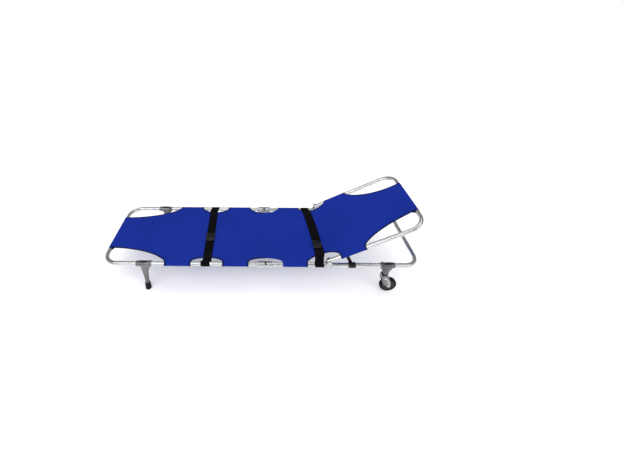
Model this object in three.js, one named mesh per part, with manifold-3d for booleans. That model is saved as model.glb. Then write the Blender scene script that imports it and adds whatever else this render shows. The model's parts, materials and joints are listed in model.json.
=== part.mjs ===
// Folding ambulance stretcher: a tube frame in two halves that folds at the middle, a raising
// backrest on slider props, four fold-in legs (two with wheels), a fabric sheet and two belts.
// Millimetres, +Z up. X runs along the length, foot end at -X; the near side is -Y.
import * as THREE from "three";
import { ConvexGeometry } from "three/addons/geometries/ConvexGeometry.js";
import { mergeVertices } from "three/addons/utils/BufferGeometryUtils.js";
import Module from "manifold-3d";

const wasm = await Module();
wasm.setup();

// ---- overall sizes ----
const LENGTH = 1900; // over the end tubes
const WIDTH = 530; // over the side rails
const RAIL_Z = 205; // height of the rail axis
const GAP = 0.3; // clearance between neighbouring solids
const TUBE_R = 12.5; // frame tube, outer radius
const TUBE_WALL = 1.5;
const BEND_R = 80; // centreline radius of the frame corners
const TUBE_SIDES = 20;
const BEND_STEPS = 6;
const RAIL_Y = WIDTH / 2 - TUBE_R;
const END_X = LENGTH / 2 - TUBE_R;

// ---- middle fold ----
const FOLD_X = 30; // centre of the fold link
const FOLD_PIN_DX = 30; // each link pin from that centre
const RAIL_END_DX = 5.5; // rail end from the centre
const PLUG_FACE_DX = 3.3; // outer face of the end plug
const PLUG_DEPTH = 14;
const LINK_INNER = 13.3; // inner face of a link cheek from the rail axis
const LINK_T = 3;
const LINK_HALF = 45;
const LINK_DROP = 16.5;
const LINK_RISE = 9;
const LINK_WEB_HALF = 14;
const PIN_R = 4;
const PIN_HEAD_R = 7;
const PIN_HEAD_T = 3;

// ---- backrest and its props ----
const PIVOT_X = 403;
const PIVOT_UP = 32; // pivot above the rail axis
const BACK_ANGLE = THREE.MathUtils.degToRad(28.5);
const BACK_LENGTH = 588; // pivot to the outer edge of the end tube
const BACK_STUB = 10; // tube behind the pivot
const SADDLE_R = 15.5;
const SADDLE_LENGTH = 44;
const EAR_R = 12;
const PROP_REACH = 105; // strut pin from the backrest pivot
const STRUT_LENGTH = 93; // between pin centres
const STRUT_T = 4;
const STRUT_HALF_WIDTH = 8;
const STRUT_IN = 17.3; // outer face of the strut, measured inboard from the rail axis
const RIVET_R = 3.5;
const RIVET_HEAD_R = 6.5;
const COLLAR_R = 16.5;
const COLLAR_RIM_R = 17; // raised rim at each end
const COLLAR_BORE = 13;
const COLLAR_LENGTH = 41;

// ---- legs ----
const SLEEVE_BORE = 13.2;
const SLEEVE_R = 15.8;
const FOOT_LEG_X = -692;
const FOOT_SLEEVE_LENGTH = 92;
const LEG_TOP_X = 40;
const LEG_TOP_Y = 25;
const LEG_TIP_R = 12.5;
const LEG_BOTTOM_Z = 12;
const LEG_SHOULDER_Z = RAIL_Z - 30;
const GUSSET_T = 5;
const GUSSET_DROP = 62;
const TIP_HEIGHT = 48;
const TIP_R_TOP = 15.5;
const TIP_R_BOTTOM = 17.5;
const BUTTON_R = 5;
const BUTTON_SHANK_R = 2.5;
const BUTTON_HOLE_R = 2.8;
const BUTTON_TOP = 18.6; // cap face from the rail axis
const BUTTON_BOTTOM = 13.4;
const BUTTON_ANGLE = Math.PI / 4;
const FOOT_BUTTON_DX = 36; // from the leg centre, towards the middle of the stretcher
const WHEEL_BUTTON_DX = -30;

// ---- wheel legs ----
const WHEEL_LEG_X = 750;
const WHEEL_SLEEVE_LENGTH = 84;
const STEM_HALF_X = 14;
const STEM_HALF_Y = 13.5;
const STEM_BOTTOM_Z = 92;
const AXLE_X = 778;
const WHEEL_R = 50;
const TYRE_HALF = 13;
const RIM_R = 35;
const FORK_INNER = 15;
const FORK_T = 2.5;
const FORK_TOP_Z = 136;
const FORK_WEB_LOW_Z = 106;
const FORK_BACK_X = 729;
const FORK_BOLT_Z = 112;
const AXLE_R = 5;
const NUT_R = 7.5;
const NUT_T = 3;

// ---- sheet and belts ----
const SHEET_T = 1.5;
const SHEET_EDGE_Y = RAIL_Y + 9;
const FOOT_WRAP = [-570, -414]; // rail lengths the sheet is wrapped round
const MIDDLE_WRAP = [-226, -72];
const SEAT_WRAP = [132, 278];
const BACK_WRAP = [75, 230]; // along the backrest, from its pivot
const CUT_Y = 210; // half width left between two rail wraps
const FOOT_END_Y = 142;
const HEAD_END_Y = 138;
const HIP_Y = 180;
const HIP_X = 385;
const BELT_X = [-322, 347];
const BELT_WIDTH = 50;
const BELT_T = 2;
const BELT_LIFT = 2.4; // strap above the rail tops where it crosses the sheet
const BUCKLE_Y = [-40, -120]; // middle of each buckle
const BUCKLE_HALF_Y = 33;
const BUCKLE_HALF_X = 30;
const BUCKLE_T = 11;

const SIDES = { near: -1, far: 1 };
const group = new THREE.Group();
group.name = "folding_stretcher";

// ---- solids ----
function solid(geometry) {
  const bare = new THREE.BufferGeometry();
  bare.setAttribute("position", geometry.getAttribute("position"));
  bare.setIndex(geometry.index);
  const merged = mergeVertices(bare, 1e-3);
  const vertProperties = new Float32Array(merged.attributes.position.array);
  const triVerts = new Uint32Array(merged.index.array);
  const made = new wasm.Manifold(new wasm.Mesh({ numProp: 3, vertProperties, triVerts }));
  if (made.volume() > 0) {
    return made;
  }
  triVerts.reverse();
  return new wasm.Manifold(new wasm.Mesh({ numProp: 3, vertProperties, triVerts }));
}

function join(...solids) {
  return solids.reduce((sum, next) => sum.add(next));
}

function cut(body, ...tools) {
  return tools.reduce((left, tool) => left.subtract(tool), body);
}

function add(name, body, color, roughness = 0.6, metalness = 0) {
  const mesh = body.getMesh();
  const geometry = new THREE.BufferGeometry();
  geometry.setAttribute("position", new THREE.Float32BufferAttribute(mesh.vertProperties, 3));
  geometry.setIndex(Array.from(mesh.triVerts));
  geometry.computeVertexNormals();
  const material = new THREE.MeshStandardMaterial({ color, roughness, metalness });
  const node = new THREE.Mesh(geometry, material);
  node.name = name;
  group.add(node);
}

function block(x, y, z) {
  const box = new THREE.BoxGeometry(x[1] - x[0], y[1] - y[0], z[1] - z[0]);
  box.translate((x[0] + x[1]) / 2, (y[0] + y[1]) / 2, (z[0] + z[1]) / 2);
  return solid(box);
}

// A rod between two points, its end radii given.
function rod(from, to, r, sides = 20, rEnd = r) {
  const a = new THREE.Vector3(...from);
  const b = new THREE.Vector3(...to);
  const along = b.clone().sub(a);
  const turn = new THREE.Quaternion().setFromUnitVectors(
    new THREE.Vector3(0, 1, 0),
    along.clone().normalize(),
  );
  const round = new THREE.CylinderGeometry(rEnd, r, along.length(), sides);
  round.applyQuaternion(turn);
  const middle = a.add(b).multiplyScalar(0.5);
  round.translate(middle.x, middle.y, middle.z);
  return solid(round);
}

function rodX(x, y, z, r, sides = 24) {
  return rod([x[0], y, z], [x[1], y, z], r, sides);
}

function rodY(x, y, z, r, sides = 20) {
  return rod([x, y[0], z], [x, y[1], z], r, sides);
}

// A closed profile of [radius, offset] pairs turned about the Y axis through (x, y, z).
function turned(profile, x, y, z, sides) {
  const points = profile.map(([r, offset]) => new THREE.Vector2(r, offset));
  const geometry = new THREE.LatheGeometry(points, sides);
  geometry.translate(x, y, z);
  return solid(geometry);
}

// A flat outline drawn in X and Z, given its thickness along Y.
function plateXZ(shape, y, curveSegments = 8) {
  const settings = { depth: y[1] - y[0], bevelEnabled: false, curveSegments };
  const geometry = new THREE.ExtrudeGeometry(shape, settings);
  geometry.rotateX(Math.PI / 2);
  geometry.translate(0, y[1], 0);
  return solid(geometry);
}

function plateXY(shape, z) {
  const settings = { depth: z[1] - z[0], bevelEnabled: false, curveSegments: 6 };
  const geometry = new THREE.ExtrudeGeometry(shape, settings);
  geometry.translate(0, 0, z[0]);
  return solid(geometry);
}

function polygon(points) {
  return new THREE.Shape(points.map(([u, v]) => new THREE.Vector2(u, v)));
}

// The inboard and outboard ends of a span measured from the rail axis towards the middle.
function inboard(side, from, to) {
  return [-side * from, -side * to].map((dy) => side * RAIL_Y + dy).sort((a, b) => a - b);
}

function spanY(side, half) {
  return [side * RAIL_Y - half, side * RAIL_Y + half];
}

// ---- bent tubes ----
class StationPath extends THREE.Curve {
  constructor(stations) {
    super();
    this.stations = stations;
  }

  at(u) {
    return this.stations[Math.round(u * (this.stations.length - 1))];
  }

  getPointAt(u, target = new THREE.Vector3()) {
    return target.copy(this.at(u).point);
  }

  getTangentAt(u, target = new THREE.Vector3()) {
    return target.copy(this.at(u).tangent);
  }
}

// Stations of a U-shaped tube in the XY plane: near leg, end tube, far leg.
function uStations(openX, endX) {
  const way = Math.sign(endX - openX);
  const bendX = endX - way * BEND_R;
  const bendY = RAIL_Y - BEND_R;
  const stations = [
    { point: new THREE.Vector3(openX, -RAIL_Y, 0), tangent: new THREE.Vector3(way, 0, 0) },
  ];
  for (const side of [-1, 1]) {
    for (let i = 0; i <= BEND_STEPS; i++) {
      const turn = (i / BEND_STEPS) * (Math.PI / 2);
      const angle = side < 0 ? turn : Math.PI / 2 - turn;
      const dx = Math.sin(angle) * BEND_R * way;
      const dy = side * Math.cos(angle) * BEND_R;
      const point = new THREE.Vector3(bendX + dx, side * bendY + dy, 0);
      const tangent = new THREE.Vector3(-side * way * Math.cos(angle), Math.sin(angle), 0);
      stations.push({ point, tangent });
    }
  }
  stations.push({
    point: new THREE.Vector3(openX, RAIL_Y, 0),
    tangent: new THREE.Vector3(-way, 0, 0),
  });
  return stations;
}

function uTube(openX, endX) {
  const stations = uStations(openX, endX);
  const ring = new THREE.Shape();
  ring.absarc(0, 0, TUBE_R, 0, 2 * Math.PI, false);
  const bore = new THREE.Path();
  bore.absarc(0, 0, TUBE_R - TUBE_WALL, 0, 2 * Math.PI, true);
  ring.holes.push(bore);
  return new THREE.ExtrudeGeometry(ring, {
    steps: stations.length - 1,
    curveSegments: TUBE_SIDES / 2,
    extrudePath: new StationPath(stations),
  });
}

function acrossHoles(x, z, r) {
  return Object.values(SIDES).map((side) => rodY(x, spanY(side, TUBE_R * 2), z, r, 14));
}

// The backrest is drawn lying along +X from its pivot, then raised.
function raise(geometryOrSolid) {
  const degrees = -THREE.MathUtils.radToDeg(BACK_ANGLE);
  return geometryOrSolid.rotate([0, degrees, 0]).translate([PIVOT_X, 0, RAIL_Z + PIVOT_UP]);
}

function onBackrest(d, up = 0) {
  const cos = Math.cos(BACK_ANGLE);
  const sin = Math.sin(BACK_ANGLE);
  return [PIVOT_X + d * cos - up * sin, RAIL_Z + PIVOT_UP + d * sin + up * cos];
}

const frameColor = 0xb9bcc2;
const clearHole = PIN_R + 0.4;

const footTube = uTube(FOLD_X - RAIL_END_DX, -END_X);
footTube.translate(0, 0, RAIL_Z);
const footPinHoles = acrossHoles(FOLD_X - FOLD_PIN_DX, RAIL_Z, clearHole);
add("foot_frame_tube", cut(solid(footTube), ...footPinHoles), frameColor, 0.3, 0.9);

const headTube = uTube(FOLD_X + RAIL_END_DX, END_X);
headTube.translate(0, 0, RAIL_Z);
const headPinHoles = acrossHoles(FOLD_X + FOLD_PIN_DX, RAIL_Z, clearHole);
add("head_frame_tube", cut(solid(headTube), ...headPinHoles), frameColor, 0.3, 0.9);

const backTube = solid(uTube(-BACK_STUB, BACK_LENGTH - TUBE_R));
const backHoles = [
  ...acrossHoles(0, 0, clearHole),
  ...acrossHoles(PROP_REACH, 0, RIVET_R + 0.4),
];
add("backrest_tube", raise(cut(backTube, ...backHoles)), frameColor, 0.3, 0.9);

// ---- fold links, pins and rail plugs ----
function foldLink(side) {
  const low = RAIL_Z - LINK_DROP;
  const outline = polygon([
    [FOLD_X - LINK_HALF + 8, low],
    [FOLD_X + LINK_HALF - 8, low],
    [FOLD_X + LINK_HALF, low + 8],
    [FOLD_X + LINK_HALF, RAIL_Z + LINK_RISE - 8],
    [FOLD_X + LINK_HALF - 8, RAIL_Z + LINK_RISE],
    [FOLD_X - LINK_HALF + 8, RAIL_Z + LINK_RISE],
    [FOLD_X - LINK_HALF, RAIL_Z + LINK_RISE - 8],
    [FOLD_X - LINK_HALF, low + 8],
  ]);
  const cheeks = [-1, 1].map((way) => {
    const faces = [way * LINK_INNER, way * (LINK_INNER + LINK_T)].sort((a, b) => a - b);
    return plateXZ(outline, faces.map((dy) => side * RAIL_Y + dy));
  });
  const web = block(
    [FOLD_X - LINK_WEB_HALF, FOLD_X + LINK_WEB_HALF],
    spanY(side, LINK_INNER + 1),
    [low, low + LINK_T],
  );
  const holes = [-FOLD_PIN_DX, FOLD_PIN_DX].map((dx) =>
    rodY(FOLD_X + dx, spanY(side, LINK_INNER + LINK_T + 1), RAIL_Z, PIN_R + GAP),
  );
  return cut(join(...cheeks, web), ...holes);
}

// A pin across one rail with a round head outside each face at the given half span.
function headedPin(x, z, side, half, r = PIN_R, headR = PIN_HEAD_R) {
  const y = side * RAIL_Y;
  const shank = rodY(x, spanY(side, half + PIN_HEAD_T), z, r, 16);
  const heads = [-1, 1].map((way) => {
    const faces = [way * half, way * (half + PIN_HEAD_T)].sort((a, b) => a - b);
    return rodY(x, faces.map((dy) => y + dy), z, headR, 16);
  });
  return join(shank, ...heads);
}

function railPlug(side, way) {
  const along = (near, far) => [FOLD_X + way * near, FOLD_X + way * far].sort((a, b) => a - b);
  const y = side * RAIL_Y;
  const flange = rodX(along(PLUG_FACE_DX, RAIL_END_DX - GAP), y, RAIL_Z, TUBE_R - GAP);
  const stem = rodX(along(RAIL_END_DX - 1, PLUG_DEPTH), y, RAIL_Z, TUBE_R - TUBE_WALL - 0.5);
  return join(flange, stem);
}

for (const [name, side] of Object.entries(SIDES)) {
  const half = LINK_INNER + LINK_T + GAP;
  add(`${name}_fold_link`, foldLink(side), 0xa8abb0, 0.4, 0.9);
  add(`${name}_fold_pin_foot`, headedPin(FOLD_X - FOLD_PIN_DX, RAIL_Z, side, half), 0xd0d2d6, 0.3, 1);
  add(`${name}_fold_pin_head`, headedPin(FOLD_X + FOLD_PIN_DX, RAIL_Z, side, half), 0xd0d2d6, 0.3, 1);
  add(`${name}_rail_plug_foot`, railPlug(side, -1), 0x1b1b1d, 0.7);
  add(`${name}_rail_plug_head`, railPlug(side, 1), 0x1b1b1d, 0.7);
}

// ---- backrest pivots ----
function pivotBracket(side) {
  const y = side * RAIL_Y;
  const span = [PIVOT_X - SADDLE_LENGTH / 2, PIVOT_X + SADDLE_LENGTH / 2];
  const ear = new THREE.Shape();
  ear.moveTo(PIVOT_X - 18, RAIL_Z);
  ear.lineTo(PIVOT_X + 18, RAIL_Z);
  ear.lineTo(PIVOT_X + EAR_R, RAIL_Z + PIVOT_UP);
  ear.absarc(PIVOT_X, RAIL_Z + PIVOT_UP, EAR_R, 0, Math.PI, false);
  ear.closePath();
  const ears = [-1, 1].map((way) => {
    const faces = [way * LINK_INNER, way * (LINK_INNER + LINK_T)].sort((a, b) => a - b);
    return plateXZ(ear, faces.map((dy) => y + dy), 6);
  });
  const bore = rodX([span[0] - 1, span[1] + 1], y, RAIL_Z, TUBE_R + GAP);
  const pivotHole = rodY(PIVOT_X, spanY(side, 20), RAIL_Z + PIVOT_UP, PIN_R + GAP);
  return cut(join(rodX(span, y, RAIL_Z, SADDLE_R), ...ears), bore, pivotHole);
}

// ---- props: a collar sliding on the rail and a strut hinged under the backrest ----
const [strutTopX, strutTopZ] = onBackrest(PROP_REACH);
const strutLean = Math.acos((strutTopZ - RAIL_Z) / STRUT_LENGTH);
const collarX = strutTopX + STRUT_LENGTH * Math.sin(strutLean);

function propCollar(side) {
  const y = side * RAIL_Y;
  const reach = (half) => [collarX - half, collarX + half];
  const barrel = rodX(reach(COLLAR_LENGTH / 2), y, RAIL_Z, COLLAR_R);
  const ear = rodY(collarX, inboard(side, COLLAR_BORE, STRUT_IN - 0.7), RAIL_Z, 9);
  const rims = [-1, 1].map((way) => {
    const from = collarX + way * (COLLAR_LENGTH / 2);
    const span = [from, from - way * 5].sort((a, b) => a - b);
    return rodX(span, y, RAIL_Z, COLLAR_RIM_R);
  });
  const bore = rodX(reach(COLLAR_LENGTH), y, RAIL_Z, COLLAR_BORE);
  return cut(join(barrel, ear, ...rims), bore);
}

function propStrut(side) {
  const along = new THREE.Vector2(Math.sin(strutLean), -Math.cos(strutLean));
  const across = new THREE.Vector2(along.y, -along.x).multiplyScalar(STRUT_HALF_WIDTH);
  const corners = [
    [strutTopX + across.x, strutTopZ + across.y],
    [strutTopX - across.x, strutTopZ - across.y],
    [collarX - across.x, RAIL_Z - across.y],
    [collarX + across.x, RAIL_Z + across.y],
  ];
  const thick = inboard(side, STRUT_IN, STRUT_IN + STRUT_T);
  const bar = plateXZ(polygon(corners), thick);
  const topEye = rodY(strutTopX, thick, strutTopZ, STRUT_HALF_WIDTH);
  const lowEye = rodY(collarX, thick, RAIL_Z, STRUT_HALF_WIDTH);
  const spacer = rodY(strutTopX, inboard(side, TUBE_R + GAP, STRUT_IN + 1), strutTopZ, 7);
  const topHole = rodY(strutTopX, inboard(side, 0, 30), strutTopZ, RIVET_R + GAP);
  const lowHole = rodY(collarX, inboard(side, 0, 30), RAIL_Z, RIVET_R + GAP);
  return cut(join(bar, topEye, lowEye, spacer), topHole, lowHole);
}

function strutPin(side) {
  const face = STRUT_IN + STRUT_T + GAP;
  const shank = rodY(strutTopX, inboard(side, -TUBE_R - GAP - 1, face + 1), strutTopZ, RIVET_R, 16);
  const inner = rodY(strutTopX, inboard(side, face, face + 2.5), strutTopZ, RIVET_HEAD_R, 16);
  const outerSpan = inboard(side, -TUBE_R - GAP - 2.5, -TUBE_R - GAP);
  const outer = rodY(strutTopX, outerSpan, strutTopZ, RIVET_HEAD_R, 16);
  return join(shank, inner, outer);
}

function strutRivet(side) {
  const face = STRUT_IN + STRUT_T + GAP;
  const shank = rodY(collarX, inboard(side, STRUT_IN, face + 1), RAIL_Z, RIVET_R, 16);
  const head = rodY(collarX, inboard(side, face, face + 2.5), RAIL_Z, RIVET_HEAD_R, 16);
  return join(shank, head);
}

for (const [name, side] of Object.entries(SIDES)) {
  const bolt = headedPin(PIVOT_X, RAIL_Z + PIVOT_UP, side, LINK_INNER + LINK_T + GAP);
  add(`${name}_pivot_bracket`, pivotBracket(side), 0xa8abb0, 0.4, 0.9);
  add(`${name}_pivot_bolt`, bolt, 0xd0d2d6, 0.3, 1);
  add(`${name}_prop_collar`, propCollar(side), 0x18181a, 0.6);
  add(`${name}_prop_strut`, propStrut(side), 0x222226, 0.5);
  add(`${name}_strut_pin`, strutPin(side), 0xd0d2d6, 0.3, 1);
  add(`${name}_strut_rivet`, strutRivet(side), 0xd0d2d6, 0.3, 1);
}

// ---- legs ----
// The direction of a lock button from the rail axis: inboard and up.
function buttonPoint(x, side, r) {
  const dy = -side * Math.cos(BUTTON_ANGLE) * r;
  return [x, side * RAIL_Y + dy, RAIL_Z + Math.sin(BUTTON_ANGLE) * r];
}

function buttonHole(x, side) {
  return rod(buttonPoint(x, side, TUBE_R), buttonPoint(x, side, 20), BUTTON_HOLE_R, 16);
}

function lockButton(x, side) {
  const capFrom = buttonPoint(x, side, SLEEVE_R + GAP);
  const top = buttonPoint(x, side, BUTTON_TOP);
  const shank = rod(buttonPoint(x, side, BUTTON_BOTTOM), top, BUTTON_SHANK_R, 12);
  return join(shank, rod(capFrom, top, BUTTON_R, 16));
}

function ovalRing(halfX, halfY, x, y, z, count = 20) {
  return Array.from({ length: count }, (_, i) => {
    const angle = (2 * Math.PI * i) / count;
    return new THREE.Vector3(x + halfX * Math.cos(angle), y + halfY * Math.sin(angle), z);
  });
}

// Two triangular ribs from the sleeve down to the leg.
function gussets(x, side, halfX, drop) {
  const rib = polygon([
    [x - halfX, RAIL_Z - 6],
    [x, RAIL_Z - 6 - drop],
    [x + halfX, RAIL_Z - 6],
  ]);
  return plateXZ(rib, spanY(side, GUSSET_T / 2));
}

function footLeg(side) {
  const y = side * RAIL_Y;
  const half = FOOT_SLEEVE_LENGTH / 2;
  const shoulder = [
    ...ovalRing(LEG_TOP_X / 2, LEG_TOP_Y / 2, FOOT_LEG_X, y, RAIL_Z - 8),
    ...ovalRing(LEG_TIP_R + 1.5, LEG_TIP_R, FOOT_LEG_X, y, LEG_SHOULDER_Z - 50),
  ];
  const shaft = [
    ...ovalRing(LEG_TIP_R + 1.5, LEG_TIP_R, FOOT_LEG_X, y, LEG_SHOULDER_Z - 49),
    ...ovalRing(LEG_TIP_R - 1, LEG_TIP_R - 1, FOOT_LEG_X, y, LEG_BOTTOM_Z),
  ];
  const body = join(
    rodX([FOOT_LEG_X - half, FOOT_LEG_X + half], y, RAIL_Z, SLEEVE_R),
    solid(new ConvexGeometry(shoulder)),
    solid(new ConvexGeometry([...shaft, new THREE.Vector3(FOOT_LEG_X, y, LEG_SHOULDER_Z - 40)])),
    gussets(FOOT_LEG_X, side, half - 3, GUSSET_DROP),
  );
  const bore = rodX([FOOT_LEG_X - half - 1, FOOT_LEG_X + half + 1], y, RAIL_Z, SLEEVE_BORE);
  return cut(body, bore, buttonHole(FOOT_LEG_X + FOOT_BUTTON_DX, side));
}

function footTip(side) {
  const outer = rod(
    [FOOT_LEG_X, side * RAIL_Y, 0],
    [FOOT_LEG_X, side * RAIL_Y, TIP_HEIGHT],
    TIP_R_BOTTOM,
    24,
    TIP_R_TOP,
  );
  const socket = rod(
    [FOOT_LEG_X, side * RAIL_Y, LEG_BOTTOM_Z - GAP],
    [FOOT_LEG_X, side * RAIL_Y, TIP_HEIGHT + 1],
    LEG_TIP_R,
    24,
    LEG_TIP_R + GAP,
  );
  return cut(outer, socket);
}

// ---- wheel legs ----
function wheelLeg(side) {
  const y = side * RAIL_Y;
  const half = WHEEL_SLEEVE_LENGTH / 2;
  const stem = block(
    [WHEEL_LEG_X - STEM_HALF_X, WHEEL_LEG_X + STEM_HALF_X],
    spanY(side, STEM_HALF_Y),
    [STEM_BOTTOM_Z + 12, RAIL_Z - 2],
  );
  const body = join(
    rodX([WHEEL_LEG_X - half, WHEEL_LEG_X + half], y, RAIL_Z, SLEEVE_R),
    stem,
    gussets(WHEEL_LEG_X, side, half - 3, 44),
  );
  const bore = rodX([WHEEL_LEG_X - half - 1, WHEEL_LEG_X + half + 1], y, RAIL_Z, SLEEVE_BORE);
  const boltHole = rodY(WHEEL_LEG_X, spanY(side, 20), FORK_BOLT_Z, PIN_R + GAP);
  return cut(body, bore, boltHole, buttonHole(WHEEL_LEG_X + WHEEL_BUTTON_DX, side));
}

function forkOutline() {
  const shape = new THREE.Shape();
  shape.moveTo(FORK_BACK_X + 8, FORK_TOP_Z);
  shape.quadraticCurveTo(FORK_BACK_X - 1, FORK_TOP_Z - 2, FORK_BACK_X - 2, FORK_TOP_Z - 24);
  shape.quadraticCurveTo(FORK_BACK_X + 4, 66, AXLE_X - 12, 43);
  shape.absarc(AXLE_X, WHEEL_R, 14, 1.17 * Math.PI, 2 * Math.PI, false);
  shape.quadraticCurveTo(AXLE_X + 12, 82, AXLE_X - 6, 112);
  shape.quadraticCurveTo(AXLE_X - 8, FORK_TOP_Z, AXLE_X - 18, FORK_TOP_Z);
  shape.closePath();
  return shape;
}

function wheelFork(side) {
  const full = plateXZ(forkOutline(), spanY(side, FORK_INNER + FORK_T), 8);
  const inside = spanY(side, FORK_INNER);
  const space = block([FORK_BACK_X + 4, AXLE_X + 60], inside, [-20, FORK_TOP_Z + 20]);
  const lowSpace = block([FORK_BACK_X - 60, AXLE_X], inside, [-20, FORK_WEB_LOW_Z]);
  const axleHole = rodY(AXLE_X, spanY(side, 30), WHEEL_R, AXLE_R + GAP);
  const boltHole = rodY(WHEEL_LEG_X, spanY(side, 30), FORK_BOLT_Z, PIN_R + GAP);
  return cut(full, space, lowSpace, axleHole, boltHole);
}

function axle(side) {
  const half = FORK_INNER + FORK_T + GAP;
  const shank = rodY(AXLE_X, spanY(side, half + NUT_T), WHEEL_R, AXLE_R, 20);
  const nuts = [-1, 1].map((way) => {
    const faces = [way * half, way * (half + NUT_T)].sort((a, b) => a - b);
    return rodY(AXLE_X, faces.map((dy) => side * RAIL_Y + dy), WHEEL_R, NUT_R, 6);
  });
  return join(shank, ...nuts);
}

const tyreProfile = [
  [RIM_R, -TYRE_HALF + 2],
  [WHEEL_R - 6, -TYRE_HALF],
  [WHEEL_R - 1.5, -TYRE_HALF + 4],
  [WHEEL_R, -4],
  [WHEEL_R, 4],
  [WHEEL_R - 1.5, TYRE_HALF - 4],
  [WHEEL_R - 6, TYRE_HALF],
  [RIM_R, TYRE_HALF - 2],
  [RIM_R, -TYRE_HALF + 2],
];

const hubProfile = [
  [AXLE_R + GAP, -TYRE_HALF],
  [13, -TYRE_HALF],
  [14, -5],
  [27, -4],
  [30, -TYRE_HALF + 3],
  [RIM_R - GAP, -TYRE_HALF + 3],
  [RIM_R - GAP, TYRE_HALF - 3],
  [30, TYRE_HALF - 3],
  [27, 4],
  [14, 5],
  [13, TYRE_HALF],
  [AXLE_R + GAP, TYRE_HALF],
  [AXLE_R + GAP, -TYRE_HALF],
];

for (const [name, side] of Object.entries(SIDES)) {
  const y = side * RAIL_Y;
  const bolt = headedPin(WHEEL_LEG_X, FORK_BOLT_Z, side, FORK_INNER + FORK_T + GAP, PIN_R, 6.5);
  add(`${name}_foot_leg`, footLeg(side), 0xb4b7bc, 0.4, 0.85);
  add(`${name}_foot_tip`, footTip(side), 0x151516, 0.85);
  add(`${name}_foot_lock_button`, lockButton(FOOT_LEG_X + FOOT_BUTTON_DX, side), 0x2a2a2d, 0.5);
  add(`${name}_wheel_leg`, wheelLeg(side), 0xb4b7bc, 0.4, 0.85);
  add(`${name}_wheel_lock_button`, lockButton(WHEEL_LEG_X + WHEEL_BUTTON_DX, side), 0x2a2a2d, 0.5);
  add(`${name}_wheel_fork`, wheelFork(side), 0x9b9ea3, 0.45, 0.8);
  add(`${name}_fork_bolt`, bolt, 0xd0d2d6, 0.3, 1);
  add(`${name}_axle`, axle(side), 0xd0d2d6, 0.3, 1);
  add(`${name}_tyre`, turned(tyreProfile, AXLE_X, y, WHEEL_R, 36), 0x111112, 0.9);
  add(`${name}_hub`, turned(hubProfile, AXLE_X, y, WHEEL_R, 24), 0x2b2b2e, 0.6);
}

// ---- sheet ----
// A half outline is a run of steps along the near edge; the far edge is its mirror image.
// Each step is [x, y] for a straight edge or [cx, cy, x, y] for a curve through a control point.
function sheetShape(steps) {
  const half = new THREE.Path();
  const [first, ...rest] = steps;
  half.moveTo(first[0], -first[1]);
  for (const step of rest) {
    if (step.length === 2) {
      half.lineTo(step[0], -step[1]);
    } else {
      half.quadraticCurveTo(step[0], -step[1], step[2], -step[3]);
    }
  }
  const near = half.getPoints(5);
  const far = near.map((p) => new THREE.Vector2(p.x, -p.y)).reverse();
  return new THREE.Shape([...near, ...far]);
}

// The steps round a scalloped opening between two rail wraps.
function scallop(x0, x1) {
  const middle = (x0 + x1) / 2;
  return [
    [x0, SHEET_EDGE_Y],
    [x0 + 4, CUT_Y, middle, CUT_Y],
    [x1 - 4, CUT_Y, x1, SHEET_EDGE_Y],
  ];
}

const sheetColor = 0x1b2f95;
const sheetZ = RAIL_Z + TUBE_R + GAP;
const footSheet = sheetShape([
  [-END_X, FOOT_END_Y],
  [-720, FOOT_END_Y + 6, -612, CUT_Y + 10],
  [FOOT_WRAP[0] - 14, CUT_Y + 22, FOOT_WRAP[0], SHEET_EDGE_Y],
  ...scallop(FOOT_WRAP[1], MIDDLE_WRAP[0]),
  [MIDDLE_WRAP[1], SHEET_EDGE_Y],
  [MIDDLE_WRAP[1] + 6, CUT_Y, FOLD_X - 1, CUT_Y],
]);
add("sheet_foot", plateXY(footSheet, [sheetZ, sheetZ + SHEET_T]), sheetColor, 0.85);

const seatSheet = sheetShape([
  [FOLD_X + 1, CUT_Y],
  [SEAT_WRAP[0] - 6, CUT_Y, SEAT_WRAP[0], SHEET_EDGE_Y],
  [SEAT_WRAP[1], SHEET_EDGE_Y],
  [SEAT_WRAP[1] + 4, CUT_Y, HIP_X, HIP_Y],
]);
add("sheet_seat", plateXY(seatSheet, [sheetZ, sheetZ + SHEET_T]), sheetColor, 0.85);

const backSheet = sheetShape([
  [8, HIP_Y],
  [BACK_WRAP[0] - 8, CUT_Y - 10, BACK_WRAP[0], SHEET_EDGE_Y],
  [BACK_WRAP[1], SHEET_EDGE_Y],
  [BACK_WRAP[1] + 14, CUT_Y + 10, 278, 198],
  [380, 152, BACK_LENGTH - TUBE_R, HEAD_END_Y],
]);
const backSheetSolid = plateXY(backSheet, [TUBE_R + GAP, TUBE_R + GAP + SHEET_T]);
add("sheet_back", raise(backSheetSolid), sheetColor, 0.85);

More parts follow.
